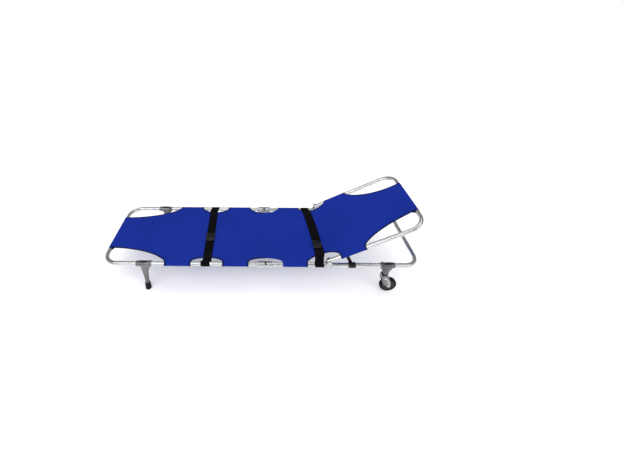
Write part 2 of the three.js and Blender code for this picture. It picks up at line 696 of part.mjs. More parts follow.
// ---- belts ----
// A strap in two halves, each looped round a rail and meeting at the buckle.
function strapHalf(side, beltX, buckleEdge) {
  const y = side * RAIL_Y;
  const path = [];
  path.push([buckleEdge, RAIL_Z + TUBE_R + BELT_LIFT + BELT_T / 2]);
  path.push([side * (CUT_Y - 12), RAIL_Z + TUBE_R + BELT_LIFT + BELT_T / 2]);
  const r = TUBE_R + GAP + BELT_T / 2;
  for (let i = 0; i <= 12; i++) {
    const angle = Math.PI / 2 - (i / 12) * 1.35 * Math.PI;
    path.push([y + side * r * Math.cos(angle), RAIL_Z + r * Math.sin(angle)]);
  }
  const outline = (shift) =>
    path.map(([py, pz], i) => {
      const a = path[Math.max(i - 1, 0)];
      const b = path[Math.min(i + 1, path.length - 1)];
      const length = Math.hypot(b[0] - a[0], b[1] - a[1]);
      return [py - ((b[1] - a[1]) / length) * shift, pz + ((b[0] - a[0]) / length) * shift];
    });
  const ring = [...outline(BELT_T / 2), ...outline(-BELT_T / 2).reverse()];
  const settings = { depth: BELT_WIDTH, bevelEnabled: false };
  const geometry = new THREE.ExtrudeGeometry(polygon(ring), settings);
  const basis = new THREE.Matrix4().makeBasis(
    new THREE.Vector3(0, 1, 0),
    new THREE.Vector3(0, 0, 1),
    new THREE.Vector3(1, 0, 0),
  );
  geometry.applyMatrix4(basis);
  geometry.translate(beltX - BELT_WIDTH / 2, 0, 0);
  return solid(geometry);
}

BELT_X.forEach((beltX, index) => {
  const label = `belt_${index + 1}`;
  const middle = BUCKLE_Y[index];
  const edges = [middle - BUCKLE_HALF_Y, middle, middle + BUCKLE_HALF_Y];
  const z = [RAIL_Z + TUBE_R + BELT_LIFT - 0.3, RAIL_Z + TUBE_R + BELT_LIFT - 0.3 + BUCKLE_T];
  const x = [beltX - BUCKLE_HALF_X, beltX + BUCKLE_HALF_X];
  add(`${label}_strap_near`, strapHalf(-1, beltX, edges[0] - GAP), 0x131315, 0.8);
  add(`${label}_strap_far`, strapHalf(1, beltX, edges[2] + GAP), 0x131315, 0.8);
  add(`${label}_buckle_socket`, block(x, [edges[0], edges[1] - GAP], z), 0x0f0f10, 0.45);
  add(`${label}_buckle_tongue`, block(x, [edges[1] + GAP, edges[2]], z), 0x0f0f10, 0.45);
});

export default group;
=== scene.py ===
"""Looks for the folding stretcher: tube frame, cast legs, wheels, woven sheet and belts."""
import json
import math

import bmesh
import bpy
import numpy as np
from mathutils import Matrix, Vector


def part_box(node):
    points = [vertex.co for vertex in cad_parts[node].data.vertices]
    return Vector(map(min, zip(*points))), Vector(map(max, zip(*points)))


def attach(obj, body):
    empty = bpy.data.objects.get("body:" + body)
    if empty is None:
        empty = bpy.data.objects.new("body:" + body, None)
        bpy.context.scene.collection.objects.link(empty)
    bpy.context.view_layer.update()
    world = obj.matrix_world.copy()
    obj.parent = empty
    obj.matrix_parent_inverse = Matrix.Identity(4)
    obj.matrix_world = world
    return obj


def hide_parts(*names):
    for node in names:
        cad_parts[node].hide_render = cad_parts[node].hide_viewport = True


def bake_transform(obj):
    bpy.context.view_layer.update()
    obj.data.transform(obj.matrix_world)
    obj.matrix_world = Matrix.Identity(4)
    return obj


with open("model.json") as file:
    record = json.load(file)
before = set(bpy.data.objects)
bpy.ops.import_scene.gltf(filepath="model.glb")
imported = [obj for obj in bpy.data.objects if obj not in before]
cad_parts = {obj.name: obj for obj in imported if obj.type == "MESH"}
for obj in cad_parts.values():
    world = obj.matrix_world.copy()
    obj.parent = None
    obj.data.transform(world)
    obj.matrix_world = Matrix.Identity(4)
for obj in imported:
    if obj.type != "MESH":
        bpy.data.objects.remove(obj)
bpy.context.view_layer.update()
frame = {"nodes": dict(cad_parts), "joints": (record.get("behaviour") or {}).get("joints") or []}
joints = {j["name"]: j for j in frame["joints"]}

# ---------------------------------------------------------------- places, most of them from the frame
tube_lo, tube_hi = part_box("foot_frame_tube")
TUBE_R = (tube_hi.z - tube_lo.z) / 2
RAIL_Z = (tube_hi.z + tube_lo.z) / 2
RAIL_Y = tube_hi.y - TUBE_R
END_X = -tube_lo.x - TUBE_R
BEND_R = 0.080
TUBE_IN = TUBE_R - 0.0015
PIN_FOOT_X = joints["fold_foot_side"]["pos_m"][0]
PIN_HEAD_X = joints["fold"]["pos_m"][0]
FOLD_X = (PIN_FOOT_X + PIN_HEAD_X) / 2
PIVOT_X, _, PIVOT_Z = joints["backrest_raise"]["pos_m"]
BACK_ANGLE = math.radians(joints["backrest_raise"]["range_deg"][1])
COS, SIN = math.cos(BACK_ANGLE), math.sin(BACK_ANGLE)
STRUT_TOP = joints["prop_pivot"]["pos_m"]
COLLAR_X = sum(c.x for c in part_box("near_prop_collar")) / 2
FOOT_LEG_X = joints["near_foot_leg_fold"]["pos_m"][0]
WHEEL_LEG_X = joints["near_wheel_leg_fold"]["pos_m"][0]
AXLE_X, _, WHEEL_R = joints["near_wheel_roll"]["pos_m"]
back_far = max(v.co.x for v in frame["nodes"]["sheet_back"].data.vertices)
BACK_END = 0.5755
SHEET_T = 0.0010
SHEET_R = TUBE_R + 0.0009
SIDES = {"near": -1, "far": 1}


# ---------------------------------------------------------------- materials
class Shader:
    """A Principled material built from nodes."""

    def __init__(self, name, rough=0.5, metal=0.0, specular=0.5, sheen=0.0):
        self.mat = bpy.data.materials.new(name)
        self.mat.use_nodes = True
        self.tree = self.mat.node_tree
        self.bsdf = self.tree.nodes["Principled BSDF"]
        self.set("Roughness", rough)
        self.set("Metallic", metal)
        self.set("Specular IOR Level", specular)
        self.set("Sheen Weight", sheen)

    def set(self, label, value):
        socket = self.bsdf.inputs[label]
        if hasattr(value, "links"):
            self.tree.links.new(value, socket)
        else:
            socket.default_value = value

    def node(self, kind, out=0, **inputs):
        made = self.tree.nodes.new("ShaderNode" + kind)
        for label, value in inputs.items():
            if label.startswith("p_"):
                setattr(made, label[2:], value)
        for label, value in inputs.items():
            if label.startswith("p_"):
                continue
            key = int(label[1:]) if label[0] == "i" and label[1:].isdigit() else label
            socket = made.inputs[key]
            if hasattr(value, "links"):
                self.tree.links.new(value, socket)
            else:
                socket.default_value = value
        return made.outputs[out]

    def coords(self, kind="Object"):
        return self.tree.nodes.new("ShaderNodeTexCoord").outputs[kind]

    def scaled(self, vector, scale):
        return self.node("Mapping", Vector=vector, Scale=scale)

    def noise(self, vector, scale, detail=3.0, rough=0.5):
        return self.node("TexNoise", Vector=vector, Scale=scale, Detail=detail, Roughness=rough)

    def math(self, how, a, b=0.0):
        return self.node("Math", p_operation=how, i0=a, i1=b)

    def ramp(self, value, stops):
        made = self.tree.nodes.new("ShaderNodeValToRGB")
        self.tree.links.new(value, made.inputs[0])
        ramp = made.color_ramp
        while len(ramp.elements) < len(stops):
            ramp.elements.new(0.5)
        for element, (at, color) in zip(ramp.elements, stops):
            element.position = at
            element.color = (*color, 1) if len(color) == 3 else color
        return made.outputs[0]

    def span(self, value, lo, hi, from_lo=0.3, from_hi=0.7):
        return self.node(
            "MapRange", Value=value, i1=from_lo, i2=from_hi, i3=lo, i4=hi
        )

    def mix(self, factor, a, b):
        made = self.tree.nodes.new("ShaderNodeMix")
        made.data_type = "RGBA"
        for index, value in ((0, factor), (6, a), (7, b)):
            if hasattr(value, "links"):
                self.tree.links.new(value, made.inputs[index])
            else:
                made.inputs[index].default_value = (*value, 1) if index else value
        return made.outputs[2]

    def bump(self, height, strength, distance, normal=None):
        extra = {"Normal": normal} if normal else {}
        return self.node("Bump", Height=height, Strength=strength, Distance=distance, **extra)

    def edges(self, lo=0.52, hi=0.60):
        """1 on convex edges, from the mesh's own curvature."""
        pointiness = self.tree.nodes.new("ShaderNodeNewGeometry").outputs["Pointiness"]
        return self.span(pointiness, 0.0, 1.0, lo, hi)


def metal(name, dark, light, rough, grain=900.0, grain_depth=0.00008, brushed=None, metallic=1.0,
          wear=0.35, dents=0.10, worn_edges=0.35):
    """Bare or anodised metal: cloudy tone, fine grain, handling scuffs and brightened edges."""
    s = Shader(name, rough, metallic)
    where = s.coords()
    clouds = s.noise(where, 14.0, 4.0)
    tone = s.ramp(clouds, [(0.3, dark), (0.7, light)])
    scuffs = s.noise(s.scaled(where, (1.0, 5.0, 5.0)), 42.0, 8.0, 0.75)
    marked = s.span(scuffs, 0.0, wear, 0.60, 0.72)
    tone = s.mix(marked, tone, tuple(c * 0.62 for c in dark))
    tone = s.mix(s.math("MULTIPLY", s.edges(), worn_edges), tone, (0.88, 0.89, 0.90))
    s.set("Base Color", tone)
    s.set("Roughness", s.span(s.noise(where, 60.0, 5.0), rough - 0.08, rough + 0.12))
    fine = s.noise(where if brushed is None else s.scaled(where, brushed), grain, 2.0)
    first = s.bump(fine, 0.35, grain_depth)
    s.set("Normal", s.bump(s.noise(where, 25.0, 4.0), dents, 0.0006, first))
    return s.mat


def plastic(name, color, rough, specular=0.5, speckle=1400.0):
    """Moulded plastic: slight mottling, fine moulded texture and paler rubbed edges."""
    s = Shader(name, rough, 0.0, specular)
    where = s.coords()
    pale = tuple(c * 2.2 + 0.015 for c in color)
    tone = s.ramp(s.noise(where, 30.0, 5.0), [(0.35, color), (0.75, tuple(c * 1.5 for c in color))])
    tone = s.mix(s.math("MULTIPLY", s.edges(0.54, 0.66), 0.5), tone, pale)
    s.set("Base Color", tone)
    s.set("Roughness", s.span(s.noise(where, 80.0, 4.0), rough - 0.07, rough + 0.10))
    s.set("Normal", s.bump(s.noise(where, speckle, 2.0), 0.30, 0.00012))
    return s.mat


def rubber(name, color, dust):
    s = Shader(name, 0.85, 0.0, 0.25)
    where = s.coords()
    worn = s.noise(where, 38.0, 7.0, 0.7)
    tone = s.ramp(worn, [(0.38, color), (0.78, dust)])
    s.set("Base Color", s.mix(s.math("MULTIPLY", s.edges(), 0.4), tone, dust))
    s.set("Normal", s.bump(s.noise(where, 700.0, 3.0), 0.5, 0.00018))
    return s.mat


def woven(name, color, pale, pitch, rough, sheen, depth, basket=1.0):
    """Plain weave from the mesh's own cloth coordinates, in metres along and across."""
    s = Shader(name, rough, 0.0, 0.05, sheen)
    uv = s.node("UVMap", p_uv_map="cloth")
    split = s.tree.nodes.new("ShaderNodeSeparateXYZ")
    s.tree.links.new(uv, split.inputs[0])
    wave = []
    for axis, stretch in ((0, basket), (1, 1.0)):
        turns = s.math("MULTIPLY", split.outputs[axis], math.pi / (pitch * stretch))
        wave.append(s.math("SINE", turns))
    over = s.math("MULTIPLY", wave[0], wave[1])
    thread = s.math("MAXIMUM", s.math("ABSOLUTE", wave[0]), s.math("ABSOLUTE", wave[1]))
    height = s.math("ADD", thread, s.math("MULTIPLY", over, 0.5))
    slubs = s.noise(s.scaled(uv, (160.0, 1400.0, 1.0)), 1.0, 3.0)
    faded = s.noise(uv, 3.2, 5.0, 0.55)
    tone = s.mix(s.span(over, 0.0, 0.45, -1.0, 1.0), color, pale)
    tone = s.mix(s.span(slubs, 0.0, 0.30), tone, tuple(c * 1.35 for c in pale))
    tone = s.mix(s.span(faded, 0.0, 0.30, 0.40, 0.68), tone, tuple(c * 0.72 for c in color))
    s.set("Base Color", tone)
    s.set("Sheen Roughness", 0.4)
    s.set("Roughness", s.span(slubs, rough - 0.06, rough + 0.08))
    first = s.bump(height, 0.55, depth)
    creases = s.noise(s.scaled(uv, (9.0, 5.0, 1.0)), 1.0, 6.0, 0.6)
    s.set("Normal", s.bump(creases, 0.25, 0.0018, first))
    return s.mat


MAT = {
    "tube": metal("anodised_tube", (0.56, 0.57, 0.58), (0.66, 0.67, 0.68), 0.26,
                  grain=300.0, grain_depth=0.00002, brushed=(0.06, 4.0, 4.0), wear=0.05, dents=0.008,
                  worn_edges=0.05),
    "bracket": metal("bracket_metal", (0.38, 0.39, 0.40), (0.54, 0.55, 0.56), 0.34),
    "cast": metal("cast_aluminium", (0.11, 0.112, 0.116), (0.22, 0.223, 0.228), 0.32,
                  grain=520.0, grain_depth=0.00025, metallic=0.9),
    "fork": metal("pressed_fork", (0.06, 0.061, 0.063), (0.13, 0.131, 0.134), 0.30,
                  grain=520.0, grain_depth=0.0002, metallic=0.9),
    "steel": metal("zinc_steel", (0.55, 0.55, 0.56), (0.74, 0.74, 0.73), 0.28),
    "nylon": plastic("black_nylon", (0.006, 0.006, 0.0065), 0.50, 0.3),
    "gloss": plastic("buckle_plastic", (0.0045, 0.0045, 0.0050), 0.30, 0.40, 2200.0),
    "paint": plastic("strut_paint", (0.006, 0.006, 0.007), 0.36, 0.35, 800.0),
    "grey": plastic("grey_plastic", (0.035, 0.036, 0.038), 0.45, 0.4),
    "rubber": rubber("tip_rubber", (0.003, 0.003, 0.003), (0.014, 0.0135, 0.013)),
    "tyre": rubber("tyre_rubber", (0.0025, 0.0025, 0.0025), (0.011, 0.0105, 0.010)),
    "sheet": woven("sheet_weave", (0.0045, 0.0165, 0.200), (0.0075, 0.0255, 0.270),
                   0.0009, 0.72, 0.01, 0.00030),
    "binding": woven("edge_binding", (0.0020, 0.0045, 0.042), (0.0035, 0.0080, 0.065),
                     0.0007, 0.72, 0.02, 0.00030, 2.0),
    "thread": plastic("sewing_thread", (0.008, 0.022, 0.150), 0.65, 0.15, 3000.0),
    "web": woven("belt_webbing", (0.0014, 0.0014, 0.0018), (0.0042, 0.0042, 0.0050),
                 0.0016, 0.70, 0.0, 0.00055, 2.0),
    "web_thread": plastic("belt_thread", (0.0120, 0.0120, 0.0135), 0.65, 0.2, 3000.0),
}


# ---------------------------------------------------------------- mesh building
class Shell:
    """Vertices and faces gathered for one piece. Points are (x, inboard, z) for side pieces."""

    def __init__(self):
        self.verts, self.faces, self.slots, self.uvs = [], [], [], {}

    def put(self, verts, faces, slot=0, uvs=None):
        base = len(self.verts)
        self.verts += [tuple(map(float, v)) for v in verts]
        for f in faces:
            self.faces.append([base + i for i in f])
            self.slots.append(slot)
        if uvs is not None:
            for i, uv in enumerate(uvs):
                self.uvs[base + i] = uv

    def loft(self, rings, loop=False, slot=0, uvs=None):
        """Closed rings joined in order, with end caps unless the rings close on themselves."""
        n, m = len(rings), len(rings[0])
        verts = [p for ring in rings for p in ring]
        faces = []
        for i in range(n if loop else n - 1):
            a, b = i * m, ((i + 1) % n) * m
            faces += [[a + k, a + (k + 1) % m, b + (k + 1) % m, b + k] for k in range(m)]
        if not loop:
            faces += [list(range(m))[::-1], [(n - 1) * m + k for k in range(m)]]
        self.put(verts, faces, slot, uvs)

    def turn(self, profile, centre, axis="y", steps=48, slot=0):
        """A closed (radius, offset) profile turned about an axis; radius 0 points are on it."""
        if min(r for r, _ in profile) > 1e-6:
            self.loft(turned_rings(profile, centre, axis, steps), True, slot)
            return
        verts, faces, rows = [], [], []
        for r, a in profile:
            if r < 1e-6:
                rows.append([len(verts)] * steps)
                verts.append(on_axis(0, 0, a, centre, axis))
            else:
                rows.append([len(verts) + k for k in range(steps)])
                for k in range(steps):
                    t = 2 * math.pi * k / steps
                    verts.append(on_axis(r * math.cos(t), r * math.sin(t), a, centre, axis))
        for low, high in zip(rows, rows[1:]):
            for k in range(steps):
                face = [low[k], low[(k + 1) % steps], high[(k + 1) % steps], high[k]]
                face = list(dict.fromkeys(face))
                if len(face) > 2:
                    faces.append(face)
        self.put(verts, faces, slot)

    def plate(self, outline, y0, y1, slot=0):
        """An (x, z) outline given its thickness along y."""
        self.loft([[(x, y, z) for x, z in outline] for y in (y0, y1)], False, slot)

    def box(self, x, y, z, slot=0):
        self.plate([(x[0], z[0]), (x[1], z[0]), (x[1], z[1]), (x[0], z[1])], y[0], y[1], slot)

    def make(self, name, mats, side=None, sharp=32.0, bevel=None, segments=3):
        """side mirrors the local inboard coordinate to the near or far rail."""
        verts = self.verts
        if side is not None:
            verts = [(x, side * (RAIL_Y - y), z) for x, y, z in verts]
        mesh = bpy.data.meshes.new(name)
        mesh.from_pydata(verts, [], self.faces)
        mesh.update()
        if self.uvs:
            layer = mesh.uv_layers.new(name="cloth")
            for loop in mesh.loops:
                layer.data[loop.index].uv = self.uvs.get(loop.vertex_index, (0, 0))
        for m in mats:
            mesh.materials.append(MAT[m])
        mesh.polygons.foreach_set("material_index", self.slots)
        work = bmesh.new()
        work.from_mesh(mesh)
        bmesh.ops.recalc_face_normals(work, faces=work.faces)
        work.to_mesh(mesh)
        work.free()
        mesh.shade_smooth()
        mesh.set_sharp_from_angle(angle=math.radians(sharp))
        made = bpy.data.objects.new(name, mesh)
        bpy.context.scene.collection.objects.link(made)
        if bevel:
            mod = made.modifiers.new("edge", "BEVEL")
            mod.width = bevel
            mod.segments = segments
            mod.limit_method = "ANGLE"
            mod.angle_limit = math.radians(sharp)
            mod.harden_normals = True
        return made


def on_axis(u, v, a, centre, axis):
    x, y, z = centre
    if axis == "y":
        return (x + u, y + a, z + v)
    if axis == "x":
        return (x + a, y + u, z + v)
    return (x + u, y + v, z + a)


def turned_rings(profile, centre, axis, steps):
    rings = []
    for k in range(steps):
        t = 2 * math.pi * k / steps
        c, s = math.cos(t), math.sin(t)
        rings.append([on_axis(r * c, r * s, a, centre, axis) for r, a in profile])
    return rings


def rounded(points, radius, steps=5):
    """A 2-D outline with its corners rounded."""
    out, n = [], len(points)
    for i, (x, z) in enumerate(points):
        here = Vector((x, z))
        before = Vector(points[i - 1]) - here
        after = Vector(points[(i + 1) % n]) - here
        r = min(radius, before.length * 0.49, after.length * 0.49)
        a, b = here + before.normalized() * r, here + after.normalized() * r
        for k in range(steps + 1):
            t = k / steps
            out.append(tuple(a * (1 - t) ** 2 + here * 2 * t * (1 - t) + b * t * t))
    return out


def oval(cx, cz, rx, rz, steps=32):
    return [
        (cx + rx * math.cos(2 * math.pi * k / steps), cz + rz * math.sin(2 * math.pi * k / steps))
        for k in range(steps)
    ]


def settle(obj, body, slot, *replaced):
    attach(obj, body)
    if replaced:
        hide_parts(*replaced)
    return obj


def applied(obj):
    """The object's mesh with its modifiers worked in."""
    bpy.context.view_layer.update()
    graph = bpy.context.evaluated_depsgraph_get()
    mesh = bpy.data.meshes.new_from_object(obj.evaluated_get(graph), depsgraph=graph)
    old = obj.data
    obj.modifiers.clear()
    obj.data = mesh
    bpy.data.meshes.remove(old)
    return obj


def cutter(shell, name):
    made = shell.make(name, ["cast"])
    made.hide_render = True
    return made


def cast(obj, voxel, smooth, keep, cuts=()):
    """Grows fillets the way a casting has them: remesh, relax, thin, then bore the holes."""
    mod = obj.modifiers.new("remesh", "REMESH")
    mod.mode = "VOXEL"
    mod.voxel_size = voxel
    mod.use_smooth_shade = True
    mod = obj.modifiers.new("relax", "SMOOTH")
    mod.factor = 0.5
    mod.iterations = smooth
    mod = obj.modifiers.new("thin", "DECIMATE")
    mod.ratio = keep
    for tool in cuts:
        mod = obj.modifiers.new("bore", "BOOLEAN")
        mod.operation = "DIFFERENCE"
        mod.solver = "EXACT"
        mod.object = tool
    applied(obj)
    obj.data.shade_smooth()
    obj.data.set_sharp_from_angle(angle=math.radians(38))
    for tool in cuts:
        bpy.data.objects.remove(tool)
    return obj


def mirrored(obj, name):
    """A copy of a near-side piece for the far side."""
    mesh = obj.data.copy()
    mesh.transform(Matrix.Diagonal((1, -1, 1, 1)))
    mesh.flip_normals()
    twin = bpy.data.objects.new(name, mesh)
    bpy.context.scene.collection.objects.link(twin)
    for mod in obj.modifiers:
        copy = twin.modifiers.new(mod.name, mod.type)
        for key in ("width", "segments", "limit_method", "angle_limit", "harden_normals"):
            if mod.type == "BEVEL":
                setattr(copy, key, getattr(mod, key))
    return twin


def pair(obj, body, slot, node):
    """Settles a near piece and its mirrored twin on the near and far bodies."""
    twin = mirrored(obj, obj.name.replace("near", "far", 1))
    settle(obj, body.replace("SIDE", "near"), slot, *[n.replace("SIDE", "near") for n in node])
    settle(twin, body.replace("SIDE", "far"), slot, *[n.replace("SIDE", "far") for n in node])


# ---------------------------------------------------------------- frame tubes
def u_tube(open_x, end_x, sides=40, bend_steps=18):
    """Rings of the U-shaped tube, outside then back along the bore, in the z = 0 plane."""
    way = 1 if end_x > open_x else -1
    stations = [(open_x, -RAIL_Y, 0.0)]
    run = abs(end_x - open_x) - BEND_R
    for k in range(1, 9):
        stations.append((open_x + way * run * k / 9, -RAIL_Y, 0.0))
    for k in range(bend_steps + 1):
        t = k / bend_steps * math.pi / 2
        x = end_x - way * BEND_R * (1 - math.sin(t))
        stations.append((x, -RAIL_Y + BEND_R * (1 - math.cos(t)), t))
    half = [(x, y, t) for x, y, t in stations]
    other = [(x, -y, math.pi - t) for x, y, t in reversed(half)]
    rings = []
    for x, y, t in half + other:
        rings.append((x, y, (-math.sin(t) * -way, math.cos(t))))
    loops = []
    for r, order in ((TUBE_R, rings), (TUBE_IN, rings[::-1])):
        for x, y, (nx, ny) in order:
            ring = []
            for k in range(sides):
                a = 2 * math.pi * k / sides
                ring.append((x + nx * r * math.cos(a), y - ny * r * math.cos(a), r * math.sin(a)))
            loops.append(ring)
    return loops


def frame_tube(name, open_x, end_x, place):
    shell = Shell()
    shell.loft(u_tube(open_x, end_x), True)
    made = shell.make(name, ["tube"], sharp=50)
    made.data.transform(place)
    return made


flat = Matrix.Translation((0, 0, RAIL_Z))
raised = Matrix.Translation((PIVOT_X, 0, PIVOT_Z)) @ Matrix.Rotation(-BACK_ANGLE, 4, "Y")
foot_open = tube_hi.x
head_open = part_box("head_frame_tube")[0].x
settle(frame_tube("foot_rail_tube", foot_open, -END_X, flat), "foot_frame", "frame_tube",
       "foot_frame_tube")
settle(frame_tube("head_rail_tube", head_open, END_X, flat), "head_frame", "frame_tube",
       "head_frame_tube")
settle(frame_tube("backrest_rail_tube", -0.010, BACK_END, raised), "backrest", "frame_tube",
       "backrest_tube")


def on_back(d, up=0.0):
    return PIVOT_X + d * COS - up * SIN, PIVOT_Z + d * SIN + up * COS


# ---------------------------------------------------------------- fasteners
def dome_pin(x, z, half, r=0.004, head=0.0072, rise=0.0030, both=True):
    """A riveted pin across the rail, in local inboard coordinates."""
    outer = [
        (0, half + rise), (head * 0.45, half + rise * 0.93), (head * 0.8, half + rise * 0.62),
        (head, half + rise * 0.15), (head, half), (r, half),
    ]
    if both:
        inner = [(rr, -a) for rr, a in reversed(outer)]
    else:
        inner = [(r, -TUBE_IN + 0.001), (0, -TUBE_IN + 0.001)]
    shell = Shell()
    shell.turn(outer + inner, (x, 0, z), "y", 28)
    return shell


def hex_nut(shell, x, z, a, b, across=0.0075, slot=0):
    ring = [(x + across * math.cos(math.pi / 3 * k), z + across * math.sin(math.pi / 3 * k))
            for k in range(6)]
    shell.plate(ring, a, b, slot)


for label, x in (("foot", PIN_FOOT_X), ("head", PIN_HEAD_X)):
    near_pin = dome_pin(x, RAIL_Z, 0.0168).make(f"near_link_pin_{label}", ["steel"], -1)
    pair(near_pin, "fold_links", "fastener", [f"SIDE_fold_pin_{label}"])

# ---------------------------------------------------------------- fold links and rail plugs
def link_shell():
    shell = Shell()
    low, high, half = RAIL_Z - 0.0165, RAIL_Z + 0.009, 0.045
    cheek = rounded([(FOLD_X - half, low), (FOLD_X + half, low), (FOLD_X + half, high),
                     (FOLD_X - half, high)], 0.010, 7)
    for a, b in ((0.0133, 0.0163), (-0.0163, -0.0133)):
        shell.plate(cheek, a, b)
        boss = [(x, z) for x, z in oval(FOLD_X - 0.030, RAIL_Z, 0.0085, 0.0085, 28)]
        out = 0.0004 if a > 0 else -0.0004
        shell.plate(boss, (b if a > 0 else a) - out, (b if a > 0 else a) + out)
        boss = [(x + 0.060, z) for x, z in boss]
        shell.plate(boss, (b if a > 0 else a) - out, (b if a > 0 else a) + out)
    shell.box((FOLD_X - 0.014, FOLD_X + 0.014), (-0.0140, 0.0140), (low + 0.0002, low + 0.0030))
    return shell


pair(link_shell().make("near_link_channel", ["bracket"], -1, bevel=0.0007),
     "fold_links", "bracket", ["SIDE_fold_link"])

for label, way, body in (("foot", -1, "foot_frame"), ("head", 1, "head_frame")):
    plug = Shell()
    plug.turn([(0, 0.0033), (0.0085, 0.0033), (0.0112, 0.0036), (0.0122, 0.0046),
               (0.0122, 0.0053), (0.0108, 0.0056), (0.0108, 0.0138), (0, 0.0138)],
              (0, 0, 0), "x", 36)
    plug.verts = [(FOLD_X + way * x, y, RAIL_Z + z) for x, y, z in plug.verts]
    pair(plug.make(f"near_end_plug_{label}", ["nylon"], -1), body, "black_plastic",
         [f"SIDE_rail_plug_{label}"])

# ---------------------------------------------------------------- backrest pivots
saddle = Shell()
half = 0.022
saddle.loft(turned_rings([(0.0128, -half), (0.0152, -half), (0.0155, -half + 0.0006),
                          (0.0155, half - 0.0006), (0.0152, half), (0.0128, half)],
                         (PIVOT_X, 0, RAIL_Z), "x", 44), True)
ear_z = PIVOT_Z
ear = [(PIVOT_X - 0.018, RAIL_Z - 0.002), (PIVOT_X + 0.018, RAIL_Z - 0.002)]
ear += [(PIVOT_X + 0.012 * math.cos(math.pi * k / 16), ear_z + 0.012 * math.sin(math.pi * k / 16))
        for k in range(17)]
for a, b in ((0.0133, 0.0162), (-0.0162, -0.0133)):
    saddle.plate(ear, a, b)
pair(saddle.make("near_pivot_saddle", ["bracket"], -1, bevel=0.0006), "head_frame", "bracket",
     ["SIDE_pivot_bracket"])
screw = Shell()
screw.turn([(0.0, 0.0190), (0.0060, 0.0190), (0.0060, 0.0168), (0.0070, 0.0168), (0.0070, 0.0164),
            (0.0, 0.0164)], (PIVOT_X, 0, PIVOT_Z), "y", 30)
screw.turn([(0.0, 0.0180), (0.004, 0.0180), (0.004, -0.0180), (0.0, -0.0180)],
           (PIVOT_X, 0, PIVOT_Z), "y", 24)
screw.turn([(0.0, -0.0164), (0.0072, -0.0164), (0.0072, -0.0170), (0.0, -0.0170)],
           (PIVOT_X, 0, PIVOT_Z), "y", 30)
hex_nut(screw, PIVOT_X, PIVOT_Z, -0.0198, -0.0170, 0.0068)
pair(screw.make("near_pivot_screw", ["steel"], -1, bevel=0.0004, segments=2), "backrest",
     "fastener", ["SIDE_pivot_bolt"])

stub = Shell()
stub.turn([(0, -0.0125), (0.010, -0.0125), (0.0122, -0.0117), (0.0122, -0.0104), (0.0108, -0.0100),
           (0.0108, -0.0056), (0, -0.0056)], (0, 0, 0), "x", 36)
near_stub = stub.make("near_backrest_cap", ["nylon"], -1)
near_stub.data.transform(raised)
pair(near_stub, "backrest", "black_plastic", [])

# ---------------------------------------------------------------- props
collar = Shell()
h = 0.0205
profile = [(0.0130, -h), (0.0166, -h), (0.0170, -h + 0.0005), (0.0170, -h + 0.0046),
           (0.0165, -h + 0.0052)]
for k in range(7):
    c = -0.012 + k * 0.004
    profile += [(0.0165, c - 0.0012), (0.0159, c - 0.0008), (0.0159, c + 0.0008),
                (0.0165, c + 0.0012)]
profile += [(0.0165, h - 0.0052), (0.0170, h - 0.0046), (0.0170, h - 0.0005), (0.0166, h),
            (0.0130, h)]
collar.turn(profile, (COLLAR_X, 0, RAIL_Z), "x", 48)
collar.turn([(0, 0.0140), (0.0092, 0.0140), (0.0088, 0.0162), (0.0080, 0.0166), (0, 0.0166)],
            (COLLAR_X, 0, RAIL_Z), "y", 32)
collar.turn([(0, -0.0168), (0.0046, -0.0168), (0.0052, -0.0174), (0.0052, -0.0186),
             (0.0044, -0.0192), (0, -0.0192)], (COLLAR_X, 0, RAIL_Z), "y", 28)
pair(collar.make("near_prop_slider", ["nylon"], -1, sharp=40), "prop_collars", "black_plastic",
     ["SIDE_prop_collar"])

tx, tz = STRUT_TOP[0], STRUT_TOP[2]
lean = math.atan2(COLLAR_X - tx, tz - RAIL_Z)
along = Vector((math.sin(lean), -math.cos(lean)))
across = Vector((math.cos(lean), math.sin(lean)))
length = (Vector((COLLAR_X, RAIL_Z)) - Vector((tx, tz))).length


def on_strut(a, b):
    p = Vector((tx, tz)) + along * a + across * b
    return p.x, p.y


def strut_outline(w, waist, end_a, end_b, steps=12):
    out = []
    for k in range(steps + 1):
        t = math.pi * (0.5 + k / steps)
        out.append(on_strut(end_a + w * math.cos(t), w * math.sin(t)))
    for k in range(1, 8):
        t = k / 8
        out.append(on_strut(end_a + (end_b - end_a) * t, -w + (w - waist) * math.sin(math.pi * t)))
    for k in range(steps + 1):
        t = math.pi * (-0.5 + k / steps)
        out.append(on_strut(end_b + w * math.cos(t), w * math.sin(t)))
    for k in range(1, 8):
        t = 1 - k / 8
        out.append(on_strut(end_a + (end_b - end_a) * t, w - (w - waist) * math.sin(math.pi * t)))
    return out


strut = Shell()
strut.plate(strut_outline(0.0080, 0.0100, 0, length), 0.0176, 0.0208)
strut.plate(strut_outline(0.0030, 0.0052, 0.018, length - 0.018), 0.0172, 0.0213)
for a in (0, length):
    x, z = on_strut(a, 0)
    strut.turn([(0.0038, 0.0173), (0.0076, 0.0173), (0.0076, 0.0212), (0.0038, 0.0212)],
               (x, 0, z), "y", 32)
strut.turn([(0.0038, 0.0129), (0.0068, 0.0129), (0.0068, 0.0174), (0.0038, 0.0174)],
           (tx, 0, tz), "y", 32)
pair(strut.make("near_prop_bar", ["paint"], -1, bevel=0.0007), "prop_struts", "strut_paint",
     ["SIDE_prop_strut"])
pair(dome_pin(tx, tz, 0.0215, 0.0035, 0.0065, 0.0024, False).make("near_prop_top_rivet",
     ["steel"], -1), "prop_struts", "fastener", ["SIDE_strut_pin"])
low_rivet = Shell()
low_rivet.turn([(0, 0.0239), (0.003, 0.0237), (0.0055, 0.0230), (0.0065, 0.0219), (0.0065, 0.0215),
                (0.0035, 0.0215), (0.0035, 0.0175), (0, 0.0175)], (COLLAR_X, 0, RAIL_Z), "y", 28)
